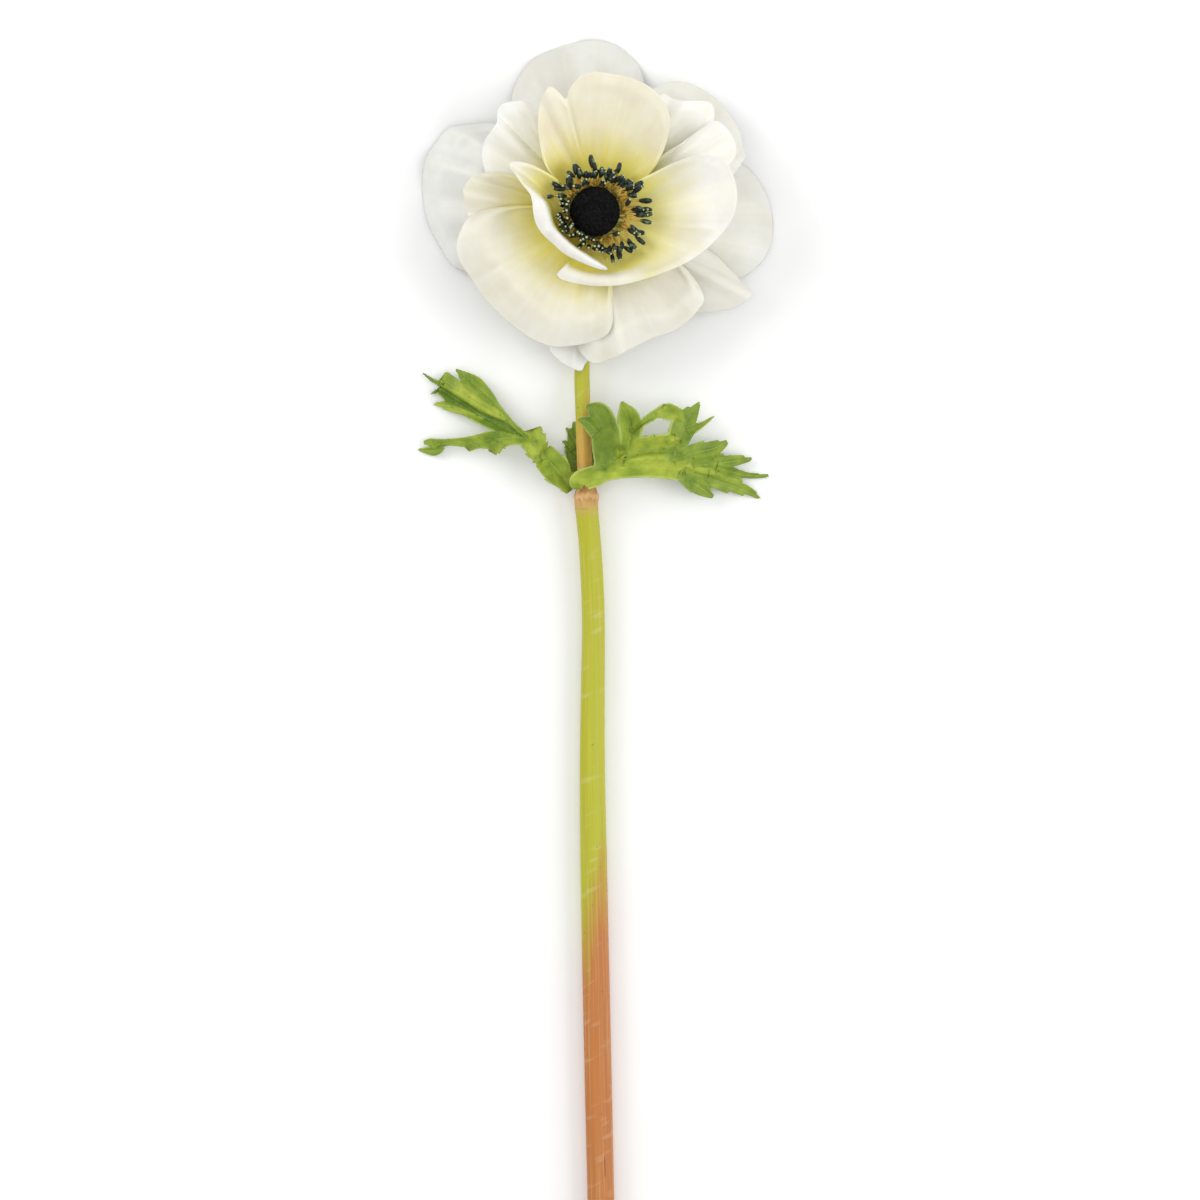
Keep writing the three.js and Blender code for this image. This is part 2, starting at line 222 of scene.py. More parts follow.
def stalk(name, path, radius, around, along, material, hollow=0.0):
    """A round stalk along a path. radius(s, a) gives its size at share s and angle a."""
    s = np.linspace(0, 1, along + 1)
    centre = spline(path, s)
    ahead = np.gradient(centre, axis=0)
    ahead /= np.linalg.norm(ahead, axis=1)[:, None]
    upward = np.cross(np.array([1.0, 0, 0]), ahead)
    upward /= np.linalg.norm(upward, axis=1)[:, None]
    across = np.cross(ahead, upward)
    angle = np.arange(around) / around * 2 * math.pi
    size = radius(s[:, None], angle[None, :])
    ring = (across[:, None] * np.sin(angle)[None, :, None] + upward[:, None] * np.cos(angle)[None, :, None])
    body = centre[:, None] + ring * size[..., None]
    corners = list(body.reshape(-1, 3))
    faces, uvs = [], []
    for i in range(along):
        for j in range(around):
            k = (j + 1) % around
            faces.append((i * around + j, i * around + k, (i + 1) * around + k, (i + 1) * around + j))
            uvs += [(j / around, s[i]), ((j + 1) / around, s[i]),
                    ((j + 1) / around, s[i + 1]), (j / around, s[i + 1])]
    shell = [1.0] * len(corners)
    for end, row in ((0, 0), (1, along)):
        inner = [(0.93, 0.1), (0.8, 0.0), (0.55, hollow), (0.3, hollow)]
        previous = [row * around + j for j in range(around)]
        outward = ahead[row] * (-1 if end == 0 else 1)
        for share, depth in inner:
            start = len(corners)
            for j in range(around):
                offset = ring[row, j] * size[row, j] * share + outward * (0.1 - depth) * MM
                corners.append(centre[row] + offset)
                shell.append(share)
            current = [start + j for j in range(around)]
            for j in range(around):
                k = (j + 1) % around
                quad = (previous[j], current[j], current[k], previous[k])
                faces.append(quad if end == 1 else quad[::-1])
                uvs += [(j / around, s[row])] * 4
            previous = current
        corners.append(centre[row] + outward * (0.1 - hollow) * MM)
        shell.append(0.0)
        for j in range(around):
            k = (j + 1) % around
            fan = (previous[j], len(corners) - 1, previous[k])
            faces.append(fan if end == 1 else fan[::-1])
            uvs += [(j / around, s[row])] * 3
    return finished_mesh(name, corners, faces, uvs, material, {"skin": shell})


def wire(tree, *runs):
    """Joins an output of one node to an input of another, once for each run."""
    for source, output, target, entry in runs:
        tree.links.new(source.outputs[output], target.inputs[entry])


def start_tree(name, kind, entries, result):
    """A node tree with its named inputs and its one output. Gives back its ends as well."""
    tree = bpy.data.node_groups.new(name, kind)
    made = []
    for label, shape, usual in entries:
        made.append(tree.interface.new_socket(name=label, in_out="INPUT", socket_type="NodeSocket" + shape))
        if usual is not None:
            made[-1].default_value = usual
    tree.interface.new_socket(name=result[0], in_out="OUTPUT", socket_type="NodeSocket" + result[1])
    return tree, tree.nodes.new("NodeGroupInput"), tree.nodes.new("NodeGroupOutput"), made


# Fine fibres run the length of a surface, from its UV. Stems, leaf joint, seat and petals have them.
fibre_group, inside, outside, _ = start_tree(
    "fibres", "ShaderNodeTree",
    [("Across", "Float", 60.0), ("Along", "Float", 3.0), ("Wander", "Float", 0.4)], ("Fibre", "Float"))
surface = fibre_group.nodes.new("ShaderNodeUVMap")
surface.uv_map = "surface"
stretch = fibre_group.nodes.new("ShaderNodeCombineXYZ")
spread = fibre_group.nodes.new("ShaderNodeVectorMath")
spread.operation = "MULTIPLY"
strands = fibre_group.nodes.new("ShaderNodeTexNoise")
strands.inputs["Scale"].default_value = 1
strands.inputs["Detail"].default_value = 3
wire(fibre_group, (inside, "Across", stretch, "X"), (inside, "Along", stretch, "Y"),
     (surface, "UV", spread, 0), (stretch, "Vector", spread, 1), (spread, "Vector", strands, "Vector"),
     (inside, "Wander", strands, "Distortion"), (strands, "Fac", outside, "Fibre"))


def fibres(tree, across, along, wander):
    node = tree.nodes.new("ShaderNodeGroup")
    node.node_tree = fibre_group
    for label, value in (("Across", across), ("Along", along), ("Wander", wander)):
        node.inputs[label].default_value = value
    return node.outputs["Fibre"]


def surface_shares(tree):
    """How far round and how far along its piece each spot lies, from the UV."""
    surface = tree.nodes.new("ShaderNodeUVMap")
    surface.uv_map = "surface"
    parts = tree.nodes.new("ShaderNodeSeparateXYZ")
    tree.links.new(surface.outputs["UV"], parts.inputs["Vector"])
    return parts.outputs["X"], parts.outputs["Y"]


def named_value(tree, label):
    node = tree.nodes.new("ShaderNodeAttribute")
    node.attribute_name = label
    return node.outputs["Fac"]


def blend_colours(tree, amount, first, second, mode="MIX"):
    """Mixes two colours. amount, first and second are outputs or plain values."""
    mix = tree.nodes.new("ShaderNodeMix")
    mix.data_type = "RGBA"
    mix.blend_type = mode
    for slot, thing in (("Factor", amount), ("A", first), ("B", second)):
        feed(tree, [s for s in mix.inputs if s.name == slot and s.enabled][0], thing)
    return [s for s in mix.outputs if s.enabled][0]


def compute(tree, operation, first, second=None, clamp=False):
    node = tree.nodes.new("ShaderNodeMath")
    node.operation = operation
    node.use_clamp = clamp
    for entry, thing in zip(node.inputs, (first, second)):
        if thing is not None:
            feed(tree, entry, thing)
    return node.outputs[0]


def times(tree, first, second):
    return compute(tree, "MULTIPLY", first, second)


def bump(tree, height, strength, distance):
    node = tree.nodes.new("ShaderNodeBump")
    node.inputs["Strength"].default_value = strength
    node.inputs["Distance"].default_value = distance
    tree.links.new(height, node.inputs["Height"])
    return node.outputs["Normal"]


stem_green = (0.39, 0.375, 0.014)
stem_light = (0.49, 0.495, 0.034)
stem_salmon = (0.41, 0.13, 0.028)
stem_salmon_light = (0.56, 0.21, 0.056)
pith = (0.66, 0.60, 0.34)


def stem_skin(name, turn, width, brown=stem_salmon, brown_light=stem_salmon_light, scratch=None):
    """Salmon brown skin that turns green where the share along the stem passes turn."""
    material, tree = new_material(name)
    round_share, along_share = surface_shares(tree)
    coarse = fibres(tree, 9, 5, 0.6)
    fine = fibres(tree, 46, 7, 0.3)
    # The brown reaches further along some sides of the stem than others.
    ragged = times(tree, coarse, width)
    lopsided = times(tree, compute(tree, "SINE", times(tree, round_share, 2 * math.pi)), 0.04)
    edge = compute(tree, "ADD", along_share, compute(tree, "SUBTRACT", ragged, lopsided))
    slope = compute(tree, "DIVIDE", compute(tree, "SUBTRACT", edge, turn + width / 2), width * 0.6)
    green_share = compute(tree, "ADD", slope, 0.5, clamp=True)
    green = blend_colours(tree, coarse, stem_green, stem_light)
    salmon = blend_colours(tree, coarse, brown, brown_light)
    skin = blend_colours(tree, green_share, salmon, green)
    streaks = times(tree, ramp(tree, fine, (0.52, 0.0), (0.72, 1.0)), 0.2)
    skin = blend_colours(tree, streaks, skin, (0.80, 0.72, 0.34))
    # Pale scuffs lie slantwise on the skin, a few millimetres apart.
    coords = tree.nodes.new("ShaderNodeTexCoord")
    slant = tree.nodes.new("ShaderNodeMapping")
    slant.vector_type = "TEXTURE"
    slant.inputs["Rotation"].default_value = (0, 0, math.radians(26))
    slant.inputs["Scale"].default_value = (1 / 150, 1 / 520, 1 / 150)
    speckle = tree.nodes.new("ShaderNodeTexVoronoi")
    speckle.inputs["Scale"].default_value = 260
    wire(tree, (coords, "Object", slant, "Vector"), (coords, "Object", speckle, "Vector"))
    scuffs = ramp(tree, noise(tree, 1, 1, slant.outputs["Vector"]), (0.60, 0.0), (0.74, 1.0))
    skin = blend_colours(tree, times(tree, scuffs, 0.11), skin, (0.86, 0.84, 0.62))
    dots = ramp(tree, speckle.outputs["Distance"], (0.05, 1.0), (0.09, 0.0))
    skin = blend_colours(tree, times(tree, dots, 0.5), skin, (0.16, 0.12, 0.05))
    if scratch:
        beside = compute(tree, "ABSOLUTE", compute(tree, "SUBTRACT", round_share, scratch[0]))
        beyond = compute(tree, "ABSOLUTE", compute(tree, "SUBTRACT", along_share, scratch[1]))
        thin = compute(tree, "SUBTRACT", 1.0, compute(tree, "DIVIDE", beside, 0.009), clamp=True)
        short = compute(tree, "SUBTRACT", 3.0, compute(tree, "DIVIDE", beyond, 0.004), clamp=True)
        skin = blend_colours(tree, times(tree, thin, short), skin, (0.09, 0.03, 0.01))
    joint = ramp(tree, compute(tree, "ADD", along_share, times(tree, ragged, 0.1)), (0.972, 0.0), (1.0, 0.75))
    skin = blend_colours(tree, joint, skin, (0.56, 0.34, 0.11))
    # Where the stem is cut, the skin gives way to a pale pith.
    core = ramp(tree, named_value(tree, "skin"), (0.84, 1.0), (0.96, 0.0))
    skin = blend_colours(tree, core, skin, pith)
    finish(material, Base_Color=skin, Roughness=compute(tree, "ADD", times(tree, fine, 0.25), 0.36),
           Normal=bump(tree, fine, 0.35, 0.25 * MM), Specular_IOR_Level=0.32,
           Subsurface_Weight=0.08, Subsurface_Scale=1.2 * MM)
    return material


collar_low, collar_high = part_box("leaf_collar")
collar_x = (collar_low.x + collar_high.x) / 2
collar_y = (collar_low.y + collar_high.y) / 2
collar_z = (collar_low.z + collar_high.z) / 2
collar_at = np.array([collar_x, collar_y, collar_z])
stem_low, stem_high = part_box("lower_stem")
stem_length = stem_high.y - stem_low.y
cut_radius = 3.5 * MM
top_radius = 2.7 * MM
resting = cut_radius - collar_z
stem_top = stem_high.y - collar_y

lower_path = collar_at + np.array([
    (4.3 * MM, stem_low.y - collar_y, resting),
    (4.05 * MM, -0.9 * stem_length, resting),
    (3.6 * MM, -0.8 * stem_length, resting),
    (3.0 * MM, -0.68 * stem_length, resting),
    (2.4 * MM, -0.55 * stem_length, resting),
    (1.9 * MM, -0.43 * stem_length, resting),
    (1.6 * MM, -0.32 * stem_length, resting + 0.1 * MM),
    (1.7 * MM, -0.22 * stem_length, resting + 0.3 * MM),
    (1.8 * MM, -0.14 * stem_length, resting + 0.6 * MM),
    (1.1 * MM, -0.065 * stem_length, resting + 1.0 * MM),
    (0, stem_top + 0.9 * MM, 0),
])


def lower_radius(s, a):
    size = np.interp(s, [0, 0.5, 0.76, 0.93, 0.975, 0.995, 1],
                     [cut_radius, cut_radius - 0.15 * MM, top_radius + 0.1 * MM, top_radius,
                      top_radius + 0.1 * MM, top_radius + 0.2 * MM, top_radius])
    ridges = 0.07 * MM * np.cos(6 * a + 1.2 * np.sin(5 * s)) + 0.05 * MM * np.cos(11 * a - 3 * s)
    flat = 0.1 * MM * np.cos(2 * a + 4 * s)
    return size + ridges + flat + 0.04 * MM * waves(14 * s, a, 3)


lower_skin = stem_skin("lower_stem_skin", 0.46, 0.16, scratch=(0.06, 0.218))
lower_stem = stalk("bare_stem", lower_path, lower_radius, 64, 320, lower_skin, hollow=0.5)
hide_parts("lower_stem")
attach(lower_stem, "root")

# ---- Leaf collar ----
# The collar is the swollen joint that the leaves and the upper stem grow from. It is soft and
# pinkish orange, with a ragged pale rim where the leaf bases have torn.

collar_radius = (collar_high.x - collar_low.x) / 2
collar_length = collar_high.y - collar_low.y


def collar_profile(s, a):
    swell = np.interp(s, [0, 0.12, 0.26, 0.38, 0.5, 0.62, 0.8, 1],
                      [0.93, 0.95, 0.99, 1.03, 1.02, 0.93, 0.82, 0.76])
    rag = 0.05 * np.sin(7 * a + 2 * np.sin(3 * a)) * smooth_step(0.3, 0.55, s) * smooth_step(0.9, 0.6, s)
    seam = 0.02 * np.sin(5 * a + 1) * smooth_step(0.3, 0, s)
    return collar_radius * (swell + rag + seam + 0.03 * waves(7 * s, 3 * a, 8))


collar_path = collar_at + np.array([(0, y * collar_length, 0) for y in (-0.56, -0.07, 0.41, 0.9)])
collar_skin, tree = new_material("collar_skin")
coarse = fibres(tree, 7, 1.5, 1.2)
fine = fibres(tree, 34, 2, 0.8)
_, along_share = surface_shares(tree)
tone = ramp(tree, coarse, (0.34, (0.36, 0.15, 0.035)), (0.5, (0.54, 0.27, 0.08)), (0.66, (0.68, 0.40, 0.15)))
torn = ramp(tree, compute(tree, "ADD", along_share, times(tree, fine, 0.5)),
            (0.60, 0.0), (0.70, 0.5), (0.78, 0.45), (0.88, 0.05))
colour = blend_colours(tree, torn, tone, (0.74, 0.50, 0.24))
low_end = ramp(tree, compute(tree, "ADD", along_share, times(tree, coarse, 0.5)), (0.36, 0.9), (0.62, 0.0))
colour = blend_colours(tree, low_end, colour, (0.52, 0.36, 0.09))
finish(collar_skin, Base_Color=colour, Roughness=0.6, Normal=bump(tree, fine, 0.7, 0.4 * MM))
leaf_collar = stalk("leaf_joint", collar_path, collar_profile, 64, 24, collar_skin)
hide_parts("leaf_collar")
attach(leaf_collar, "root")

# ---- Upper stem ----
# The flower stalk is thinner than the stem below. It comes out of the collar orange brown, turns
# yellow green, runs low behind the petals and bends up into the flower.

seat_low, seat_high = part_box("receptacle")
stalk_radius = 1.9 * MM
reach = head_y - collar_y
sideways = head_x - collar_x
bend_top = seat_low.z - collar_z
upper_path = collar_at + np.array([
    (0, collar_length * 0.45, 0),
    (-0.35 * MM, 0.13 * reach, 0),
    (-0.75 * MM, 0.3 * reach, -0.2 * MM),
    (-1.0 * MM, 0.47 * reach, -0.5 * MM),
    (-0.3 * MM, 0.7 * reach, -0.8 * MM),
    (sideways - 0.6 * MM, reach - 8 * MM, -0.6 * MM),
    (sideways - 0.1 * MM, reach - 2.2 * MM, bend_top - 3.8 * MM),
    (sideways, reach, bend_top + 0.3 * MM),
])


def upper_radius(s, a):
    size = stalk_radius * np.interp(s, [0, 0.04, 0.3, 1], [1.12, 1.04, 1, 1])
    return size + 0.05 * MM * np.cos(5 * a + 2 * s) + 0.03 * MM * waves(12 * s, a, 5)


upper_skin = stem_skin("upper_stem_skin", 0.27, 0.2, (0.55, 0.27, 0.045), (0.72, 0.46, 0.10))
upper_stem = stalk("flower_stalk", upper_path, upper_radius, 48, 160, upper_skin)
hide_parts("upper_stem")
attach(upper_stem, "root")

# ---- Leaves ----
# Three thin, deeply cut leaves grow from the collar. Each is one blade cut into toothed lobes, with
# a sunken rib down most lobes and side veins off it. They curve down to the table at their tips.

leaf_thickness = 0.32 * MM
leaf_spacing = 0.42  # millimetres between the points that shape a blade


def lobe_outline(lobe, steps=64):
    """The toothed edge of one lobe, in millimetres from the collar, and its middle line."""
    t = np.linspace(0, 1, steps)
    middle = spline(lobe["path"], t)
    ahead = np.gradient(middle[:, :2], axis=0)
    ahead /= np.linalg.norm(ahead, axis=1)[:, None]
    side = np.stack([-ahead[:, 1], ahead[:, 0]], 1)
    width = np.maximum(spline(lobe["half"], t), 0.12)
    edges = []
    for hand in (1, -1):
        teeth = lobe.get("teeth", 0)
        saw = ((t * teeth + (0.5 if hand > 0 else 0.1)) % 1) if teeth else 0
        depth = lobe.get("depth", 0.0) * np.sin(np.clip(t, 0, 1) * math.pi) ** 0.5
        edges.append(middle[:, :2] + hand * side * (width + depth * (saw - 0.5))[:, None])
    outline = np.vstack([edges[0], edges[1][::-1]])
    return outline, middle, width


def leaf(name, lobes, material, seed):
    outlines, middles, widths = zip(*[lobe_outline(lobe) for lobe in lobes])
    loops, points = [], []
    for outline in outlines:
        loops.append(list(range(len(points), len(points) + len(outline))))
        points += [Vector(p) for p in outline]
    every = np.vstack(outlines)
    low, high = every.min(0), every.max(0)
    shift = 0
    for y in np.arange(low[1], high[1], leaf_spacing * 0.87):
        shift = 1 - shift
        for x in np.arange(low[0], high[0], leaf_spacing):
            points.append(Vector((x + shift * leaf_spacing / 2, y)))
    flat, _, faces, _, _, _ = delaunay_2d_cdt(points, [], loops, 1, 1e-4)
    flat = np.array([tuple(p) for p in flat])
    kept = sorted({i for f in faces for i in f})
    order = {old: new for new, old in enumerate(kept)}
    faces = [tuple(order[i] for i in f) for f in faces]
    flat = flat[kept]
    # Each point takes its height from the middle lines around it, the nearest counting most.
    near = np.full(len(flat), 1e9)
    heights, weights = np.zeros(len(flat)), np.zeros(len(flat))
    signed, share, ribless = np.zeros(len(flat)), np.zeros(len(flat)), np.zeros(len(flat))
    tone = np.zeros(len(flat))
    for number, (lobe, middle, width) in enumerate(zip(lobes, middles, widths)):
        gap = np.linalg.norm(flat[:, None] - middle[None, :, :2], axis=2)
        k = gap.argmin(1)
        distance = gap[np.arange(len(flat)), k] / np.maximum(width[k] + lobe.get("depth", 0) / 2, 0.4)
        inside = 1 / (distance ** 2 + 0.04) ** 3
        ahead = np.gradient(middle[:, :2], axis=0)[k]
        offset = flat - middle[k, :2]
        hand = np.sign(ahead[:, 0] * offset[:, 1] - ahead[:, 1] * offset[:, 0])
        cup = lobe.get("cup", 0.18) * gap[np.arange(len(flat)), k]
        roll = lobe.get("lean", 0.0) * hand * gap[np.arange(len(flat)), k]
        heights += inside * (middle[k, 2] + cup + roll)
        weights += inside
        # Each lobe's tone, partly painted light and shade, is blended the same way.
        tone += inside * lobe.get("tone", 0.5)
        closer = distance < near
        near = np.where(closer, distance, near)
        signed = np.where(closer, hand * gap[np.arange(len(flat)), k], signed)
        share = np.where(closer, k / 63 * np.linalg.norm(np.diff(middle, axis=0), axis=1).sum(), share)
        ribless = np.where(closer, 0.0 if lobe.get("rib", True) else 9.0, ribless)
    # The gaps between lobes stay open.
    faces = [face for face in faces if np.mean(near[list(face)]) < 1.07]
    z = heights / weights
    z -= 0.28 * np.exp(-((np.abs(signed) + ribless) / 0.3) ** 2)
    z += 0.07 * np.sin(4.2 * (share - 0.8 * np.abs(signed))) * smooth_step(0.2, 1.0, np.abs(signed))
    z += 0.42 * waves(flat[:, 0] * 0.5, flat[:, 1] * 0.5, seed)
    z += 0.12 * waves(flat[:, 0] * 1.5, flat[:, 1] * 1.5, seed + 1)
    rest = (leaf_thickness / 2 / MM) - collar_z / MM + 0.05
    z = np.maximum(z, rest)
    corners = collar_at + np.column_stack([flat, z]) * MM
    marks = {"rib": np.abs(signed) + ribless, "along": share, "edge": near, "tone": tone / weights}
    piece = finished_mesh(name, corners, faces, None, material, marks)
    layer = piece.data.uv_layers.new(name="surface")
    loops_at = np.array([loop.vertex_index for loop in piece.data.loops])
    layer.data.foreach_set("uv", (flat[loops_at] / 40).astype(np.float32).ravel())
    wall = piece.modifiers.new("wall", "SOLIDIFY")
    wall.thickness = leaf_thickness
    wall.offset = 0
    wall.use_even_offset = False
    bpy.context.view_layer.update()
    settled = bpy.data.meshes.new_from_object(piece.evaluated_get(bpy.context.evaluated_depsgraph_get()))
    piece.modifiers.clear()
    piece.data = settled
    return piece


leaf_skin, tree = new_material("leaf_skin")
mottle = noise(tree, 260, 4)
green = ramp(tree, mottle, (0.32, (0.15, 0.24, 0.018)), (0.5, (0.225, 0.32, 0.026)),
             (0.7, (0.31, 0.40, 0.042)))
# The tone scales each lobe's green with painted light and shade: darker on lobes lying in shadow, lighter on
# lit ones.
lobe_tone_with_painted_shade = ramp(tree, named_value(tree, "tone"), (0.0, (0.52, 0.64, 0.5)), (0.5, (1.0, 1.0, 1.0)),
            (1.0, (1.65, 1.42, 1.7)))
colour = blend_colours(tree, 1.0, green, lobe_tone_with_painted_shade, mode="MULTIPLY")
from_rib = named_value(tree, "rib")
along_lobe = named_value(tree, "along")
rib_line = ramp(tree, from_rib, (0.06, 0.32), (0.26, 0.0))
colour = blend_colours(tree, rib_line, colour, (0.50, 0.58, 0.16))
slanted = compute(tree, "SUBTRACT", along_lobe, times(tree, from_rib, 0.8))
vein = ramp(tree, compute(tree, "SINE", times(tree, slanted, 4.2)), (0.93, 0.0), (1.0, 0.10))
colour = blend_colours(tree, vein, colour, (0.46, 0.55, 0.15))
# Soft streaks run the length of every lobe.
lengthwise = tree.nodes.new("ShaderNodeCombineXYZ")
feed(tree, lengthwise.inputs["X"], times(tree, from_rib, 2.6))
feed(tree, lengthwise.inputs["Y"], times(tree, along_lobe, 0.16))
streaks = ramp(tree, noise(tree, 1, 2, lengthwise.outputs["Vector"]),
               (0.36, (0.90, 0.92, 0.89)), (0.64, (1.07, 1.05, 1.06)))
colour = blend_colours(tree, 1.0, colour, streaks, mode="MULTIPLY")
margin = ramp(tree, named_value(tree, "edge"), (0.84, 0.0), (1.0, 0.6))
colour = blend_colours(tree, margin, colour, (0.50, 0.62, 0.17))
finish(leaf_skin, Base_Color=colour, Roughness=0.52, Normal=bump(tree, mottle, 0.3, 0.3 * MM),
       Specular_IOR_Level=0.35, Subsurface_Weight=0.12, Subsurface_Scale=1.0 * MM)

# Each lobe has a middle line in millimetres from the collar and its half width along that line.
# teeth and depth cut its edge, cup and lean bend it across, and tone is how light it is painted: partly its
# own green and partly painted light and shade, low for lobes that lie in shadow and high for lit ones.
left_lobes = [
    dict(path=[(-3.6, 2.2, 0.3), (-7.5, 7.3, 2), (-11.1, 11.6, 2.5)], half=[1.5, 3.6, 2.7], teeth=3,
         depth=0.6, cup=0.7, lean=0.25, tone=0.6),
    dict(path=[(-11.3, 9.5, 2.4), (-12.8, 13.5, 2.7), (-14, 17.4, 2.3)], half=[1.7, 3.1, 2.6], teeth=4,
         depth=1.0, cup=0.5, lean=-0.3, tone=0.75),
    dict(path=[(-12.5, 14, 2.5), (-17, 17.2, 2.2), (-21.8, 22.4, 1.7), (-25, 26, 1.2), (-28.5, 29, 0.2),
         (-32.8, 32.7, -2)], half=[1.1, 0.7, 0.9, 1.6, 2.2, 0.2], tone=0.3, lean=0.4),
    dict(path=[(-20.5, 20.6, 1.9), (-26, 23.0, 0.9), (-31, 26.4, -0.9), (-36.6, 30.6, -3.2)], half=[0.7,
         2.1, 2.5, 1.9], teeth=4, depth=0.9, tone=0.8),
    dict(path=[(-15, 15, 2.1), (-24, 19.6, 0.2), (-31, 24, -1.8), (-37.3, 28, -3.7)], half=[0.7, 2.0, 2.3,
         1.2], tone=-0.1, lean=0.5),
    dict(path=[(-26, 20.3, -0.2), (-33.1, 23.2, -2.5), (-38.5, 24, -4.3)], half=[0.9, 1.4, 0.15], teeth=2,
         depth=0.5, tone=0.85),
    dict(path=[(-36, 29, -3), (-38.5, 29.8, -3.8), (-41.2, 31.8, -4.5)], half=[0.6, 0.35, 0.15], tone=0.2),
    dict(path=[(-36.5, 27.8, -3.5), (-39.2, 26.6, -4.4)], half=[0.6, 0.12], tone=0.1),
    dict(path=[(-13.5, 14.5, 2.3), (-18, 15.4, 2), (-23.5, 14.9, 1.1), (-29, 14.3, 0), (-34.3, 14.3, -1.6),
         (-38.5, 13.9, -3.2)], half=[1.2, 1.9, 2.3, 1.5, 0.9, 1.3], tone=0.5, cup=0.5, lean=0.2),
    dict(path=[(-22, 14.2, 1.2), (-23.6, 11.6, 0)], half=[2.2, 1.1], teeth=2, depth=0.7, tone=0.6),
    dict(path=[(-28, 14.4, 0.2), (-30, 12.4, -1)], half=[2.0, 0.7], tone=0.65),
    dict(path=[(-36.4, 13.9, -2.5), (-39.2, 14.4, -3.4), (-41, 14.3, -4)], half=[0.8, 0.9, 0.4], tone=0.6),
    dict(path=[(-36.4, 13.6, -2.9), (-38.4, 12.2, -3.8), (-42.4, 12.5, -4.5)], half=[1.0, 1.3, 0.15],
         tone=0.5),
]

right_lobes = [
    dict(path=[(-2.1, 2.4, 3.0), (-1.9, 4.2, 3.9), (1.5, 5.4, 4.1), (6, 6.9, 4.1), (14.6, 8.4, 3.2),
         (23, 8.0, 1.6), (31, 6.8, -0.4)], half=[1.0, 2.4, 2.7, 2.3, 3.0, 3.3, 2.2], tone=0.85, cup=0.6,
         rib=False),
    dict(path=[(4.6, 7, 4), (5.2, 12, 5.5), (4.8, 17, 7.3), (2.9, 21.5, 8.3), (0.2, 23.2, 7.3)], half=[2.4,
         3.6, 3.6, 2.8, 0.5], tone=0.22, cup=0.35, lean=-0.3, rib=False),
    dict(path=[(3, 16.6, 7.4), (0.4, 19.1, 7), (-1.9, 19.8, 6.2)], half=[2.2, 1.6, 0.3], tone=0.1),
    dict(path=[(9, 8.5, 3.6), (10.6, 13, 4.2), (11.2, 17.5, 5.2), (10.4, 21, 5.6), (8.9, 24.3, 5)],
         half=[1.6, 2.0, 2.8, 2.6, 0.3], tone=0.5, cup=0.9, lean=0.5),
    dict(path=[(11.5, 16.8, 4.6), (14, 18.9, 4.2), (17, 21, 3.5), (19.9, 23.7, 2.6)], half=[1.6, 0.8, 1.1,
         0.2], tone=0.8),
    dict(path=[(17.6, 21.3, 3.2), (20.4, 21.9, 2.8), (23.6, 20.9, 2.3), (25.2, 18.4, 1.9)], half=[1.0, 2.0,
         1.5, 0.8], tone=0.7, lean=0.3, rib=False),
    dict(path=[(8.5, 11.5, 3.4), (15.5, 12.9, 2.6), (22.5, 13.8, 1.8)], half=[2.0, 2.7, 2.4], tone=0.85,
         cup=0.3, lean=0.35, rib=False),
    dict(path=[(19.5, 12.6, 3.0), (21.6, 14.6, 3.9), (23.8, 15.4, 3.0)], half=[0.8, 1.5, 0.6], tone=0.9,
         rib=False),
    dict(path=[(22, 9.5, 2.3), (23.4, 14, 2.1), (25.3, 19.5, 1.5), (28.6, 24.4, 0.6)], half=[1.8, 2.5, 2.7,
         0.15], teeth=3, depth=0.9, tone=0.3),
    dict(path=[(25.4, 17, 1.7), (29, 18.6, 0.9), (32.2, 20.8, 0.1)], half=[1.6, 0.7, 0.12], tone=0.35),
    dict(path=[(22, 9.8, 2), (28, 11.7, 1.2), (32, 12.6, 0), (35.6, 14.4, -1.2)], half=[2, 2.3, 2.0, 0.5],
         teeth=3, depth=0.7, tone=0.45),
    dict(path=[(27, 8.3, 0.6), (35, 9.2, -1.6), (41.8, 10.2, -3.6)], half=[2.2, 2.0, 0.3], teeth=3,
         depth=0.8, tone=0.45),
    dict(path=[(33, 8, -1.5), (40.5, 6, -3.4), (46, 6, -4.5)], half=[1.9, 0.8, 0.25], teeth=2, depth=0.4,
         tone=0.4),
    dict(path=[(25, 7.6, 0.9), (33.8, 4.4, -1.4), (39.5, 2.6, -3.2), (44, 0.3, -4.6)], half=[2.4, 2.2, 1.5,
         0.12], teeth=4, depth=0.8, tone=0.55, lean=0.25),
    dict(path=[(24, 6.6, 1.1), (28.5, 3.2, 0), (32, 0.5, -1.4)], half=[2, 2.3, 0.4], teeth=2, depth=0.4,
         tone=0.45),
]

back_lobes = [
    dict(path=[(0, 1.5, -3.8), (-1.2, 8.5, -3.9), (-2.6, 14, -4), (-3, 19.5, -4.3)], half=[1.2, 3.2, 2.4,
         0.3], teeth=4, depth=1.0, tone=0.25),
    dict(path=[(-1, 10, -3.9), (-5.9, 14.7, -4.4)], half=[2, 0.2], teeth=2, depth=0.7, tone=0.2),
    dict(path=[(-2, 13, -3.9), (-5, 18, -4.4)], half=[1.5, 0.2], tone=0.2),
    dict(path=[(-1, 9, -3.9), (-3.6, 12.0, -4.4)], half=[1.5, 0.3], tone=0.25),
    dict(path=[(0, 10, -3.9), (3.4, 14.5, -4.4)], half=[2, 0.2], teeth=2, depth=0.7, tone=0.25),
]

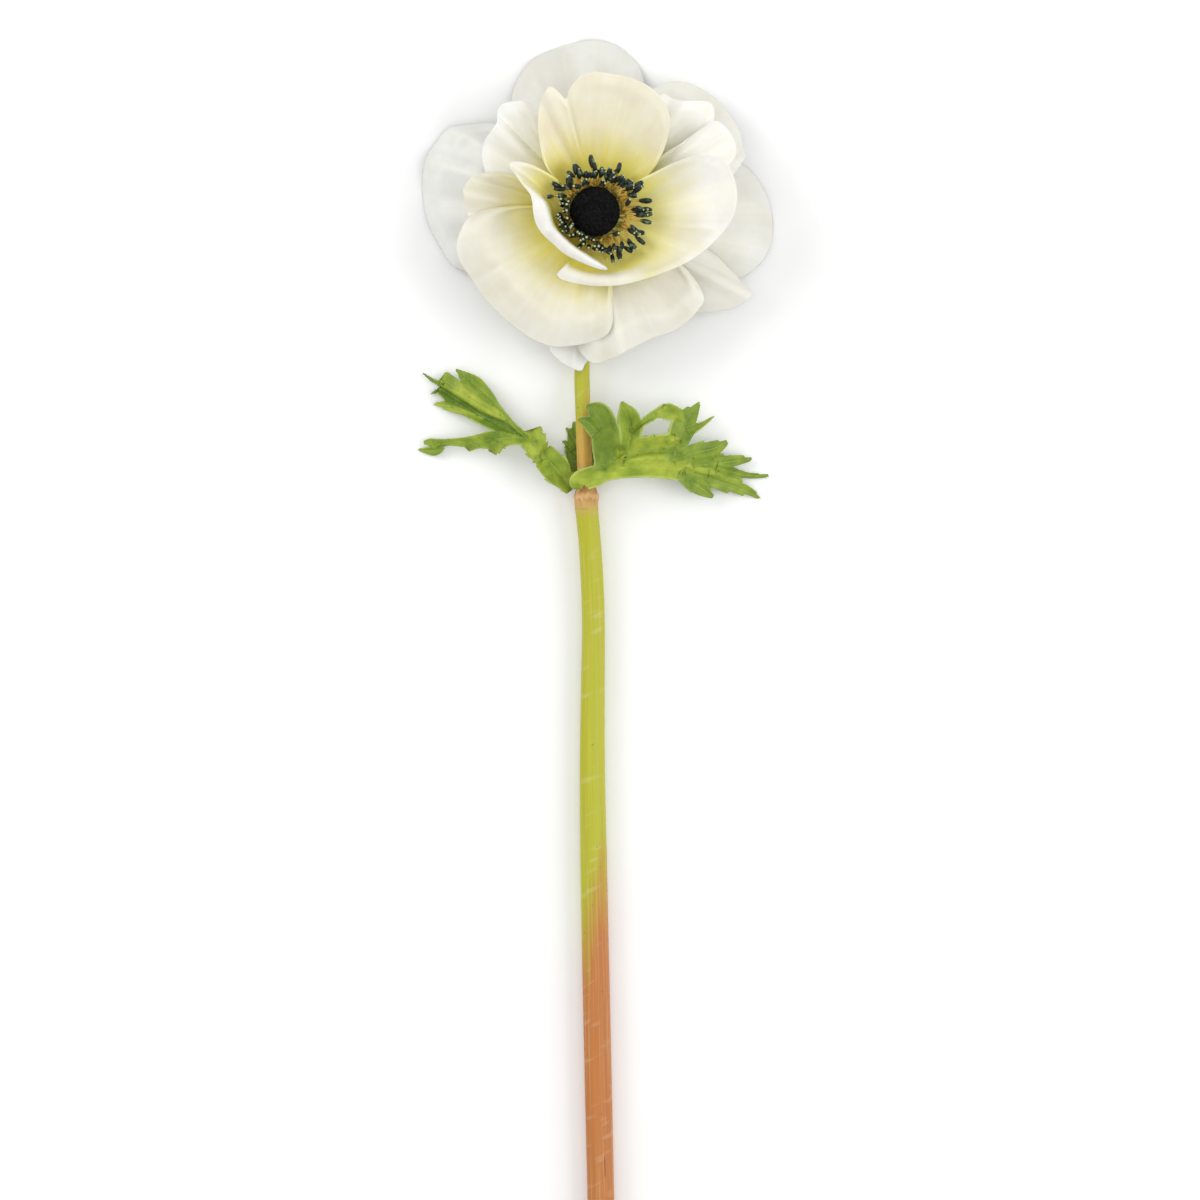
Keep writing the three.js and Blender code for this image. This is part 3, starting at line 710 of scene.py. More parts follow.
for label, lobes, node, seed in (("left_leaf", left_lobes, "leaf_left", 21),
                                 ("right_leaf", right_lobes, "leaf_right", 22),
                                 ("back_leaf", back_lobes, "leaf_back", 23)):
    blade = leaf(label, lobes, leaf_skin, seed)
    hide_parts(node)
    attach(blade, "root")

# ---- Receptacle ----
# The receptacle is the green seat at the end of the stalk. The petals grow from its side and the
# stamens and dome stand on its top. It shows only from behind and between the stamens.

seat_radius = (seat_high.x - seat_low.x) / 2


def turned(name, profile, around, material, wobble=0.0):
    """A round piece turned about the head's upright axis from (radius, height) points."""
    corners, faces, uvs = [], [], []
    for radius, height in profile:
        for j in range(around):
            a = j / around * 2 * math.pi
            size = radius * (1 + wobble * math.sin(5 * a) * math.sin(3 * height / MM))
            corners.append((head_x + size * math.cos(a), head_y + size * math.sin(a), height))
    for i in range(len(profile) - 1):
        for j in range(around):
            k = (j + 1) % around
            faces.append((i * around + j, i * around + k, (i + 1) * around + k, (i + 1) * around + j))
            v = i / (len(profile) - 1), (i + 1) / (len(profile) - 1)
            uvs += [(j / around, v[0]), ((j + 1) / around, v[0]),
                    ((j + 1) / around, v[1]), (j / around, v[1])]
    for row, height in ((0, profile[0][1]), (len(profile) - 1, profile[-1][1])):
        corners.append((head_x, head_y, height))
        for j in range(around):
            k = (j + 1) % around
            fan = (row * around + j, row * around + k, len(corners) - 1)
            faces.append(fan if row else fan[::-1])
            uvs += [(j / around, row and 1)] * 3
    return finished_mesh(name, corners, faces, uvs, material)


t = np.linspace(0, 1, 24)
seat_height = seat_high.z - seat_low.z
flare = np.interp(t, [0, 0.06, 0.2, 0.34, 0.9, 1], [0.3, 0.36, 0.88, 0.97, 1.0, 0.97])
seat_skin, tree = new_material("seat_skin")
fine = fibres(tree, 60, 2, 0.4)
tone = ramp(tree, fine, (0.35, (0.34, 0.38, 0.06)), (0.65, (0.62, 0.60, 0.16)))
finish(seat_skin, Base_Color=tone, Roughness=0.65, Normal=bump(tree, fine, 0.5, 0.3 * MM))
seat_profile = [(seat_radius * f, seat_low.z + seat_height * u) for f, u in zip(flare, t)]
seat = turned("flower_seat", seat_profile, 64, seat_skin)
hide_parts("receptacle")
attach(seat, "root")

# ---- Petals ----
# Fifteen thin satin petals grow from the side of the seat in overlapping layers. Each is one sheet,
# cream white with a yellow-green base. The outer ones fall back to the table and the inner ones
# stand up in a bowl. The innermost two roll their rims outwards.

petal_root = seat_radius + 0.3 * MM
petal_thickness = 0.34 * MM


def petal_skin(name, rim_tone, middle_tone, base_tone):
    """Satin petal: yellow at the root, cream beyond, with faint veins from root to rim and soft blotches of
    painted satin sheen.
    """
    material, tree = new_material(name)
    fine = fibres(tree, 42, 1.6, 0.5)
    broad = fibres(tree, 11, 1.2, 0.9)
    uneven = times(tree, compute(tree, "SUBTRACT", broad, 0.5), 0.45)
    pale = compute(tree, "ADD", named_value(tree, "pale"), uneven)
    tone = ramp(tree, pale, (0.08, base_tone), (0.55, middle_tone), (0.95, rim_tone))
    # Soft blotches of painted sheen: some patches are lighter and some darker, standing in for satin
    # highlights.
    cloud = noise(tree, 95, 3)
    painted_sheen = ramp(tree, cloud, (0.36, (0.925, 0.91, 0.885)), (0.62, (1.0, 1.0, 1.0)))
    colour = blend_colours(tree, 1.0, tone, painted_sheen, mode="MULTIPLY")
    veins = ramp(tree, fine, (0.42, (0.985, 0.98, 0.955)), (0.56, (1.0, 1.0, 1.0)))
    colour = blend_colours(tree, 1.0, colour, veins, mode="MULTIPLY")
    finish(material, Base_Color=colour, Roughness=compute(tree, "ADD", times(tree, cloud, 0.3), 0.25),
           Normal=bump(tree, fine, 0.22, 0.22 * MM), Subsurface_Weight=0.45,
           Subsurface_Radius=(1.0, 0.85, 0.6), Subsurface_Scale=0.8 * MM)
    return material


# The six skins are copies of one satin petal colour, partly each petal's own cream and yellow and partly
# painted light and shade: the outer, low petals are greyer where they lie in shadow, and the painted-light
# skins are lighter to lift the shadows that fall on those petals and inside the bowls.
outer_skin = petal_skin("outer_petal_skin", (0.79, 0.78, 0.72), (0.79, 0.76, 0.65), (0.72, 0.66, 0.20))
snow_skin = petal_skin("snow_petal_skin", (0.79, 0.79, 0.75), (0.79, 0.78, 0.70), (0.74, 0.70, 0.34))
cream_skin = petal_skin("cream_petal_skin", (0.79, 0.77, 0.69), (0.78, 0.745, 0.60), (0.74, 0.66, 0.145))
inner_skin = petal_skin("inner_petal_skin", (0.81, 0.775, 0.65), (0.79, 0.74, 0.53), (0.74, 0.655, 0.125))
painted_light_skin = petal_skin("painted_light_petal_skin", (0.90, 0.895, 0.855), (0.885, 0.865, 0.73), (0.84, 0.78, 0.28))
painted_light_bowl_skin = petal_skin("painted_light_bowl_petal_skin", (0.84, 0.83, 0.79), (0.79, 0.75, 0.55), (0.83, 0.77, 0.22))

# Each rim is a row of points: direction in degrees about the head's axis with 0 at +X, distance from
# the axis and height above the root, both in millimetres. arch bows a petal up between root and rim
# and bowl hollows it. folds are ridges from root to rim: direction, half width in degrees and height.
# stand gives, by direction, how far a petal stands up like a wall and rolls its rim outwards.
petals = [
    dict(name="top_outer_petal", node="petal_top_outer", skin=outer_skin, arch=2.5, wave=0.6,
         folds=[(90, 3.4, 1.2), (80, 5, -0.7), (100, 6, -0.7), (113, 5, 0.6)],
         rim=[(60, 14, -2), (65, 26, -6), (69, 34.4, -8), (72, 38, -9), (77, 41.4, -10), (83, 43.8, -10.3),
         (90, 44.4, -9.7), (98, 44.3, -10.3), (105, 43.5, -10.4), (114, 41.8, -10.3), (122, 38.4, -9.6),
         (128, 33.8, -8), (134, 25, -6), (142, 14, -3)]),
    dict(name="left_outer_petal", node="petal_left_outer", skin=snow_skin, arch=3.2, wave=1.3,
         folds=[(147, 4, 0.7), (163, 5, 0.9), (173, 3, -0.4), (183, 5, 0.7), (197, 5, 0.6)],
         ridges=[(0.64, 0.08, 0.9), (0.9, 0.05, 0.5)],
         rim=[(126, 14, -2), (130, 26, -5), (137, 33.8, -7), (144, 39.3, -8.5), (149, 43, -9.4),
         (155, 44.2, -10), (162, 45.2, -9.8), (168, 44.8, -10.2), (176, 43.4, -10), (183.5, 42, -10),
         (192, 39.8, -9.5), (202, 36.6, -8.5), (209, 27, -6), (213, 14, -2)]),
    dict(name="right_outer_petal", node="petal_right_outer", skin=outer_skin, arch=2.5, wave=0.5,
         folds=[(-12, 7, 0.8), (6, 6, 0.7)],
         rim=[(-40, 15, -2), (-31, 32, -6), (-23, 39.7, -8.5), (-16, 43.4, -9.6), (-10, 45, -10.2),
         (-4, 45.1, -10.2), (3, 44.2, -10.2), (9, 43.2, -10), (15, 41.6, -9.6), (21, 38, -8.6),
         (27, 28, -6), (33, 14, -2)]),
    dict(name="bottom_back_petal", node="petal_bottom_back", skin=painted_light_skin, arch=0.6, wave=0.6,
         folds=[(262, 2, 0.9), (250, 4, 0.7)],
         rim=[(236, 13, 0), (243, 28, -1), (251, 35.4, -2), (255, 37.5, -2.2), (261, 39.1, -2.2),
         (265, 39.4, -2.2), (266.5, 37.4, -2), (272, 33, -1.5), (280, 25, -1), (284, 13, 0)]),
    dict(name="upper_right_outer_petal", node="petal_upper_right_outer", skin=outer_skin, arch=2.2,
         wave=0.6,
         folds=[(38, 5, 0.8), (52, 5, 0.7)],
         rim=[(6, 14, 1.6), (11, 30, -0.9), (20, 39.7, -3.4), (24, 40.8, -4), (30, 41.9, -4.6),
         (37, 42.3, -4.6), (44.5, 42.1, -4.6), (52, 41, -4.6), (58.5, 39.3, -4.2), (63.5, 36.4, -3.4),
         (67, 32, -2.4), (71, 24, -0.4), (76, 13, 1.6)]),
    dict(name="lower_right_outer_petal", node="petal_lower_right_outer", skin=outer_skin, arch=2.0,
         wave=0.5,
         folds=[(-29, 3, 0.9)],
         rim=[(-62, 14, 0.6), (-54, 28, -2.4), (-44, 35.5, -3.8), (-40, 38.3, -4.2), (-35, 41.4, -4.4),
         (-31, 43.4, -4.4), (-27, 44.3, -4.4), (-25, 41, -4.4), (-22, 36.5, -3.4), (-17, 29, -1.9),
         (-12, 15, 0.6)]),
    dict(name="upper_left_inner_petal", node="petal_upper_left_inner", skin=painted_light_skin, yellow=26,
         arch=0.5, wave=1.2,
         folds=[(124, 3, 0.6), (129.5, 3.2, 1.4), (135, 2, -0.7), (141, 4, 0.7), (157, 6, 0.8)],
         rim=[(106, 13, 1.4), (112, 23, 4.0), (118.5, 28.6, 5.4), (120.5, 31.3, 5.6), (124, 33.6, 5.4),
         (130.7, 35.6, 4.2), (134.5, 34.9, 4.4), (138, 33.2, 5.4), (149, 32.8, 2.4), (158, 30, 2.8),
         (165.6, 26.5, 3), (170, 19, 2.7), (172, 12, 2.2)]),
    dict(name="bottom_right_petal", node="petal_bottom_right", skin=cream_skin, arch=1.4, wave=0.4,
         folds=[(-80, 2.4, 0.8), (-88, 3, -0.6), (-60, 8, 0.7), (-46, 4, 0.4)],
         ridges=[(0.82, 0.08, 0.6)],
         rim=[(-112, 13, 1.6), (-101, 30, 0.6), (-92, 37.3, -0.1), (-84, 36.9, 0), (-76, 35.3, 0.2),
         (-66, 34.6, 0.4), (-56, 35.6, 0.6), (-44, 35.5, 0.6), (-37, 33.9, 0.8), (-30, 24, 1.6),
         (-26, 12, 1.6)]),
    dict(name="left_inner_petal", node="petal_left_inner", skin=cream_skin, yellow=34, arch=1.1, wave=0.8,
         folds=[(165, 3, -0.7), (173, 4, 1.4), (187, 4, 1.1), (180, 2, -0.4)],
         rim=[(150, 12, 3.4), (155, 22, 3.7), (162, 31, 3.6), (169, 33.3, 3.4), (174.7, 32.6, 2.8),
         (182.7, 31.5, 2.7), (190, 28, 2.6), (199, 20, 2.4), (206, 11, 2.4)]),
    dict(name="upper_right_middle_petal", node="petal_upper_right_middle", skin=painted_light_skin, yellow=29,
         arch=0.8, wave=0.5,
         folds=[(51, 3, 0.8), (44.5, 2.4, -0.4), (61, 2.6, 1.0)],
         rim=[(27, 12, 1.6), (32, 28, 2.8), (36, 36, 3.1), (40, 39, 3.4), (44, 39.8, 3.6), (51, 35.9, 4.0),
         (56, 34.4, 4.4), (61, 33.4, 5), (67, 25, 4.2), (71, 12, 1.2)]),
    dict(name="upper_right_inner_petal", node="petal_upper_right_inner", skin=painted_light_skin, yellow=29,
         arch=0.9, wave=0.5,
         folds=[(34, 2.4, 0.7), (28.5, 1.6, -0.3), (24, 1.6, 0.3), (17, 4, 0.4)],
         rim=[(8, 13, 2), (13, 28, 4.7), (20, 36.6, 5.2), (24, 38.8, 5.6), (30, 39.2, 5.8),
         (36.5, 38.1, 4.9), (38, 35.3, 4.5), (39, 27.8, 3.9), (44, 14, 1.2)]),
    dict(name="lower_left_outer_petal", node="petal_lower_left_outer", skin=cream_skin, yellow=30, arch=2.6,
         wave=0.5,
         folds=[(230, 14, 0.7), (209, 3, -0.5), (250, 5, -0.4), (262, 5, 0.8), (271, 3, -0.5)],
         ridges=[(0.74, 0.12, 1.1)],
         rim=[(172, 13, 2.4), (177, 25, 2.6), (182, 31.3, 2.4), (187.6, 34, 2.2), (193, 35.7, 1.8),
         (199, 36.1, 1.4), (207, 35.3, 1.1), (220, 35, 0.8), (235, 35.2, 0.8), (251, 35.2, 0.9),
         (259, 34.1, 1.2), (268, 32.5, 1.6), (275, 30.9, 1.9), (279, 28, 2), (282, 21, 2.2),
         (287, 13, 2.4)]),
    dict(name="top_inner_petal", node="petal_top_inner", skin=inner_skin, yellow=25, bowl=1.45, wave=0.5,
         folds=[(104, 2.0, -1.0), (112, 3.0, 1.3), (93, 5, 0.4), (76, 4, -0.3), (62, 5, 0.4)],
         rim=[(31, 12, 4), (35, 17, 5), (40, 21.5, 6.2), (47.2, 27.2, 7.2), (52, 30.1, 7.8),
         (58.7, 32.4, 8.5), (65.7, 33.6, 9.2), (74, 34.1, 9.8), (83.7, 34.3, 10.2), (90, 34.6, 10.2),
         (96.4, 33.6, 10), (101.6, 31.3, 9.5), (104.6, 28.9, 8.8), (107, 31, 9), (110, 32.7, 9.2),
         (115, 30.9, 8.8), (119, 28.7, 8.2), (123, 26, 7.6), (129.4, 21.7, 6.6), (136.8, 17.2, 5.8),
         (142, 12, 4.6)]),
    dict(name="right_inner_petal", node="petal_right_inner", skin=painted_light_bowl_skin, yellow=26, bowl=1.6, wave=0.45,
         root=0.72, ruffle=0.35,
         folds=[(14, 5, -0.6), (1, 6, 0.5), (-18, 6, 0.5), (-8, 3, -0.3)],
         rim=[(-121.5, 18.3, 7), (-117, 19.0, 7.4), (-110, 18.8, 8), (-96, 18.8, 8.2), (-79, 19.2, 8.2),
         (-59, 20.4, 8.2), (-44, 22.6, 8.4), (-33, 25.2, 8.6), (-17, 29.8, 8.6), (-4, 34, 8.8),
         (3, 35.3, 8.8), (9, 35.8, 8.8), (15, 35.6, 8.8), (20, 35, 8.8), (24, 32.9, 8.8), (28, 29.6, 8.4),
         (31, 24, 7.6), (33, 18, 6.6), (36, 12, 5)],
         stand=[(-122, 0.9, 0.7), (-108, 0.9, 0.76), (-95, 0.9, 0.79), (-75, 0.8, 0.82), (-55, 0.6, 0.86),
         (-35, 0.25, 0.9), (-12, 0, 0.9)]),
    dict(name="lower_left_inner_petal", node="petal_lower_left_inner", skin=painted_light_bowl_skin, bowl=1.4, wave=0.35,
         root=0.72, ruffle=0.4,
         folds=[(160, 3, 0.7), (205, 6, 0.5), (236, 5, -0.5)],
         rim=[(140, 12, 6), (144, 19, 7.6), (149, 23.4, 8.4), (152.6, 24, 8.8), (157, 21, 9.4),
         (165, 17, 10.4), (172, 15.9, 11), (180, 15.5, 11.6), (193, 14.8, 12), (207, 14.1, 12.2),
         (220, 13.6, 12.2), (233, 13.4, 12.2), (248, 13.4, 12), (262, 13.8, 11.6), (272, 14.4, 11),
         (278.5, 15.0, 10.4), (282, 15.2, 10)],
         stand=[(148, 0.1, 0.8), (158, 0.5, 0.7), (168, 1, 0.58), (182, 1, 0.5), (235, 1, 0.5),
         (262, 1, 0.62), (275, 1, 0.74), (282, 1, 0.9)]),
]
# Along a standing petal: how much of the way to its crest, then beyond it, and how high it is.
wall_before = [0, 0.36, 0.66, 0.84, 0.95, 1.0, 1.0, 1.0]
wall_beyond = [0, 0, 0, 0, 0, 0.12, 0.52, 1.0]
wall_up = [0, 0.12, 0.36, 0.66, 0.92, 1.03, 1.02, 0.92]


def rim_line(petal, u):
    """Rim points at shares u of the rim's length: direction in degrees, distance and height in mm."""
    fine = spline(np.array(petal["rim"], float), np.linspace(0, 1, 1200))
    angle = np.radians(fine[:, 0])
    spot = np.stack([fine[:, 1] * np.cos(angle), fine[:, 1] * np.sin(angle), fine[:, 2]], 1)
    run = np.concatenate([[0], np.cumsum(np.linalg.norm(np.diff(spot, axis=0), axis=1))])
    return [np.interp(u, run / run[-1], fine[:, k]) for k in range(3)]


def petal_sheet(petal, across=150, along=80):
    v = np.linspace(0, 1, along + 1)
    u, v = np.meshgrid(np.linspace(0, 1, across + 1), v, indexing="ij")
    direction, reach, lift = rim_line(petal, u)
    seed = abs(len(petal["name"]) + int(petal["rim"][0][0]))
    ruffle = petal.get("ruffle", 0.2) * waves(u * 26, 0 * u, seed)
    reach = reach + ruffle * smooth_step(0, 0.08, u) * smooth_step(0, 0.08, 1 - u)
    stand = np.array(petal.get("stand", [(0, 0, 0.5), (1, 0, 0.5)]), float)
    stance = np.interp(direction, stand[:, 0], stand[:, 1])
    crest = np.interp(direction, stand[:, 0], stand[:, 2])
    wall_out = crest * spline(wall_before, v) + (1 - crest) * spline(wall_beyond, v)
    out = (1 - stance) * v + stance * wall_out
    up = (1 - stance) * v ** petal.get("bowl", 1.25) + stance * spline(wall_up, v)
    rise = lift * up + petal.get("arch", 0) * 4 * v * (1 - v) * (1 - stance)
    for at, wide, high in petal["folds"]:
        rise = rise + high * np.exp(-((direction - at) / wide) ** 2) * smooth_step(0.1, 0.75, v)
    for at, wide, high in petal.get("ridges", ()):
        crest_line = np.exp(-((v - at - 0.03 * np.sin(u * 11)) / wide) ** 2)
        rise = rise + high * crest_line * np.sin(math.pi * u) ** 0.5
    rise = rise - 0.5 * smooth_step(0.87, 1, v) * (1 - stance)
    swell = waves(u * 9, v * 2, seed + 7) * smooth_step(0.25, 1, v)
    crinkle = waves(u * 44, v * 3, seed + 9) * smooth_step(0.02, 0.3, v)
    pucker = waves(u * 30, v * 16, seed + 11, count=9) * smooth_step(0.35, 0.8, v)
    rise = rise + petal["wave"] * 0.75 * swell + 0.12 * crinkle + 0.10 * pucker
    rise = rise + 0.5 * stance * waves(u * 22, 0 * u, seed + 5) * smooth_step(0.75, 1, v)
    middle_direction = (direction.min() + direction.max()) / 2
    root_angle = np.radians(middle_direction + petal.get("root", 0.86) * (direction - middle_direction))
    rim_angle = np.radians(direction)
    low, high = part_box(petal["node"])
    falls = petal["rim"][len(petal["rim"]) // 2][2] < -1
    root_z = high.z - 0.35 * MM if falls else low.z + 0.35 * MM
    root = np.stack([petal_root * np.cos(root_angle), petal_root * np.sin(root_angle)], -1)
    rim = np.stack([reach * MM * np.cos(rim_angle), reach * MM * np.sin(rim_angle)], -1)
    flat = root + (rim - root) * out[..., None]
    height = np.maximum(root_z + rise * MM, petal_thickness)
    middle = np.stack([head_x + flat[..., 0], head_y + flat[..., 1], height], -1)
    from_root = np.linalg.norm(rim - root, axis=-1) / MM * v
    pale = smooth_step(1, petal.get("yellow", 21), from_root)
    pale = np.maximum(pale, stance * smooth_step(0.45, 0.68, v))
    return middle, u, v, pale


def shell(name, middle, u, v, pale, material):
    """A closed thin sheet about its middle surface, thinning to nothing at its rim."""
    m, n = u.shape
    across = np.gradient(middle, axis=0)
    along = np.gradient(middle, axis=1)
    normal = np.cross(along, across)
    normal /= np.linalg.norm(normal, axis=2)[..., None] + 1e-12
    edge = np.minimum(np.minimum(u, 1 - u) * 9, (1 - v) * 12)
    half = petal_thickness / 2 * (0.28 + 0.72 * np.clip(edge, 0, 1) ** 0.5)
    upper = middle + normal * half[..., None]
    lower = middle - normal * half[..., None]
    corners = np.vstack([upper.reshape(-1, 3), lower.reshape(-1, 3)])
    index = np.arange(m * n).reshape(m, n)
    a, b, c, d = index[:-1, :-1], index[:-1, 1:], index[1:, 1:], index[1:, :-1]
    top = np.stack([a, b, c, d], -1).reshape(-1, 4)
    bottom = np.stack([d, c, b, a], -1).reshape(-1, 4) + m * n
    rim = np.concatenate([index[0, :], index[1:, -1], index[-1, -2::-1], index[-2:0:-1, 0]])
    following = np.roll(rim, -1)
    side = np.stack([following, rim, rim + m * n, following + m * n], -1)
    faces = np.vstack([top, bottom, side])
    flat_uv = np.stack([u.ravel(), v.ravel()], 1)
    uvs = np.vstack([flat_uv, flat_uv])[faces.ravel()]
    extra = {"pale": np.tile(pale.ravel(), 2)}
    return finished_mesh(name, corners, faces, uvs, material, extra)


for petal in petals:
    middle, u, v, pale = petal_sheet(petal)
    sheet = shell(petal["name"], middle, u, v, pale, petal["skin"])
    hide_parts(petal["node"])
    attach(sheet, "root")

# ---- Dome ----
# The dome is the mass of pistils in the middle, a low button covered in short black velvet.

dome_radius = (dome_high.x - dome_low.x) / 2
dome_rise = dome_high.z - dome_low.z
dome_skin, tree = new_material("dome_skin")
nap = noise(tree, 1500, 3)
tone = ramp(tree, nap, (0.35, (0.004, 0.004, 0.0045)), (0.7, (0.022, 0.022, 0.021)))
finish(dome_skin, Base_Color=tone, Roughness=0.95, Specular_IOR_Level=0.15,
       Normal=bump(tree, nap, 0.8, 0.3 * MM))

profile = [(dome_radius * 0.86, dome_low.z), (dome_radius * 0.95, dome_low.z + 0.5 * MM)]
for a in np.linspace(0, math.pi / 2, 26)[:-1]:
    height = dome_low.z + 1.2 * MM + (dome_rise - 1.4 * MM) * math.sin(a)
    profile.append((dome_radius * math.cos(a) ** 0.8, height))
button = turned("dome_core", profile, 72, dome_skin)


def painted(tree, material):
    node = tree.nodes.new("GeometryNodeSetMaterial")
    node.inputs["Material"].default_value = material
    return node


def uneven_size(tree, low, high, seed=0):
    """A random value between low and high for each copy, and the output that holds it."""
    node = tree.nodes.new("FunctionNodeRandomValue")
    node.data_type = "FLOAT"
    node.inputs["Seed"].default_value = seed
    for entry, value in zip([s for s in node.inputs if s.name in ("Min", "Max") and s.enabled], (low, high)):
        entry.default_value = value
    return node, [s for s in node.outputs if s.enabled][0]


hair_density = 2.2e7
hair_length = 0.3 * MM
nap_tree, inside, outside, nap_inputs = start_tree(
    "velvet", "GeometryNodeTree",
    [("Button", "Geometry", None), ("Hairs per square metre", "Float", hair_density),
     ("Hair length", "Float", hair_length)], ("Velvet", "Geometry"))
scatter = nap_tree.nodes.new("GeometryNodeDistributePointsOnFaces")
scatter.inputs["Seed"].default_value = 4
hair = nap_tree.nodes.new("GeometryNodeMeshCone")
hair.inputs["Vertices"].default_value = 5
hair.inputs["Radius Bottom"].default_value = 0.11 * MM
hair.inputs["Radius Top"].default_value = 0.02 * MM
place = nap_tree.nodes.new("GeometryNodeInstanceOnPoints")
_, hair_size = uneven_size(nap_tree, 0.7, 1.25, 6)
join = nap_tree.nodes.new("GeometryNodeJoinGeometry")
realize = nap_tree.nodes.new("GeometryNodeRealizeInstances")
paint = painted(nap_tree, dome_skin)
feed(nap_tree, place.inputs["Scale"], hair_size)
wire(nap_tree, (inside, "Button", scatter, "Mesh"), (inside, "Hairs per square metre", scatter, "Density"),
     (inside, "Hair length", hair, "Depth"), (scatter, "Points", place, "Points"),
     (scatter, "Rotation", place, "Rotation"), (hair, "Mesh", place, "Instance"),
     (inside, "Button", join, "Geometry"), (place, "Instances", join, "Geometry"),
     (join, "Geometry", realize, "Geometry"), (realize, "Geometry", paint, "Geometry"),
     (paint, "Geometry", outside, "Velvet"))


def grow(name, base, tree, settings=()):
    """Runs a node tree on an object and gives back the result as a plain object."""
    modifier = base.modifiers.new("grow", "NODES")
    modifier.node_group = tree
    for made, value in settings:
        modifier[made.identifier] = value
    bpy.context.view_layer.update()
    evaluated = base.evaluated_get(bpy.context.evaluated_depsgraph_get())
    mesh = bpy.data.meshes.new_from_object(evaluated)
    base.modifiers.clear()
    bpy.data.objects.remove(base)
    mesh.name = name
    grown = bpy.data.objects.new(name, mesh)
    bpy.context.collection.objects.link(grown)
    return grown


dome = grow("velvet_dome", button, nap_tree, zip(nap_inputs[1:], (hair_density, hair_length)))
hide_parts("pistil_dome")
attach(dome, "root")

# ---- Stamens ----
# Ochre filaments stand in rings round the dome, each with a long anther on its end. The anthers are
# blue black with a grey-green bloom. Beside the standing petal they are crowded and point straight up.

anther_skin, tree = new_material("anther_skin")
bloom = noise(tree, 900, 2)
tone = ramp(tree, bloom, (0.42, (0.004, 0.009, 0.007)), (0.56, (0.016, 0.030, 0.020)),
            (0.70, (0.13, 0.18, 0.10)))
tip_mask = ramp(tree, named_value(tree, "share"), (0.955, 0.0), (0.985, 0.9))
colour = blend_colours(tree, tip_mask, tone, (0.50, 0.55, 0.28))
finish(anther_skin, Base_Color=colour, Roughness=0.5, Normal=bump(tree, bloom, 0.5, 0.15 * MM))

filament_skin, tree = new_material("filament_skin")
tone = ramp(tree, noise(tree, 700), (0.35, (0.50, 0.30, 0.04)), (0.55, (0.68, 0.45, 0.08)),
            (0.75, (0.76, 0.60, 0.17)))
finish(filament_skin, Base_Color=tone, Roughness=0.55)

anther_length = 3.2 * MM
anther_radius = 0.78 * MM
rings = 10
sides = 10
corners, shares, faces = [], [], []
for i in range(rings + 1):
    s = i / rings
    swell = math.sin(math.pi * min(max(s, 0.03), 0.97)) ** 0.45 * (0.82 + 0.18 * s)
    for j in range(sides):
        a = j / sides * 2 * math.pi
        groove = 1 - 0.22 * math.cos(a) ** 8
        wide = anther_radius * swell * groove * math.cos(a)
        thick = 0.8 * anther_radius * swell * math.sin(a)
        corners.append((wide, thick, anther_length * (s - 0.12)))
        shares.append(s)
for i in range(rings):
    for j in range(sides):
        k = (j + 1) % sides
        faces.append((i * sides + j, i * sides + k, (i + 1) * sides + k, (i + 1) * sides + j))
faces.append(tuple(reversed(range(sides))))
faces.append(tuple(rings * sides + j for j in range(sides)))
anther = finished_mesh("anther_pattern", corners, faces, None, anther_skin, {"share": shares})

# How the stamens stand in each twelfth of the ring, starting from +X: how many there are, how far
# out their anthers reach in millimetres, how much that varies, and how upright they are. In two of
# the twelfths the first one is longer than the rest.
longer = {3: 2.6, 5: 2.9}
sectors = [
    (10, 12.4, 1.5, 0.0), (11, 11.8, 1.6, 0.0), (13, 10.9, 1.1, -0.1), (13, 10.9, 1.2, -0.1),
    (10, 11.3, 1.5, -0.1), (8, 9.9, 0.7, 0.6), (9, 9.7, 0.9, 0.9), (12, 9.7, 1.1, 0.97),
    (12, 9.9, 1.2, 0.97), (12, 12.2, 1.7, 0.5), (7, 12.2, 1.3, 0.2), (9, 12.9, 1.1, 0.1),
]
dice = np.random.default_rng(12)
threads = bpy.data.curves.new("thread_lines", "CURVE")
threads.dimensions = "3D"
seat_top = seat_high.z
for sector, (count, far, vary, upright) in enumerate(sectors):
    for i in range(count):
        inner_row = i % 3 == 1
        direction = math.radians(30 * (sector + (i + 0.5) / count + dice.uniform(-0.1, 0.1)))
        foot = dome_radius + (0.2 + 0.8 * dice.random()) * MM
        tip = (far + vary * dice.uniform(-1, 1) - 1.8 - 1.5 * inner_row) * MM
        if i == 0:
            tip += longer.get(sector, 0) * MM
        top = seat_top + (2.4 + 2.6 * upright + 1.4 * dice.random() + 1.0 * inner_row) * MM
        swing = direction + dice.uniform(-0.18, 0.18)
        spots = []
        for share in (0, 0.35, 0.7, 1.0):
            out = foot + (max(tip, foot + 0.2 * MM) - foot) * share ** (1.4 - 0.7 * upright)
            turn_to = direction + (swing - direction) * share ** 2
            high = seat_top - 0.2 * MM + (top - seat_top) * share ** (0.7 + 0.4 * upright)
            spots.append((head_x + out * math.cos(turn_to), head_y + out * math.sin(turn_to), high, 1))
        line = threads.splines.new("POLY")
        line.points.add(len(spots) - 1)
        for point, spot in zip(line.points, spots):
            point.co = spot
thread_lines = bpy.data.objects.new("thread_lines", threads)
bpy.context.collection.objects.link(thread_lines)

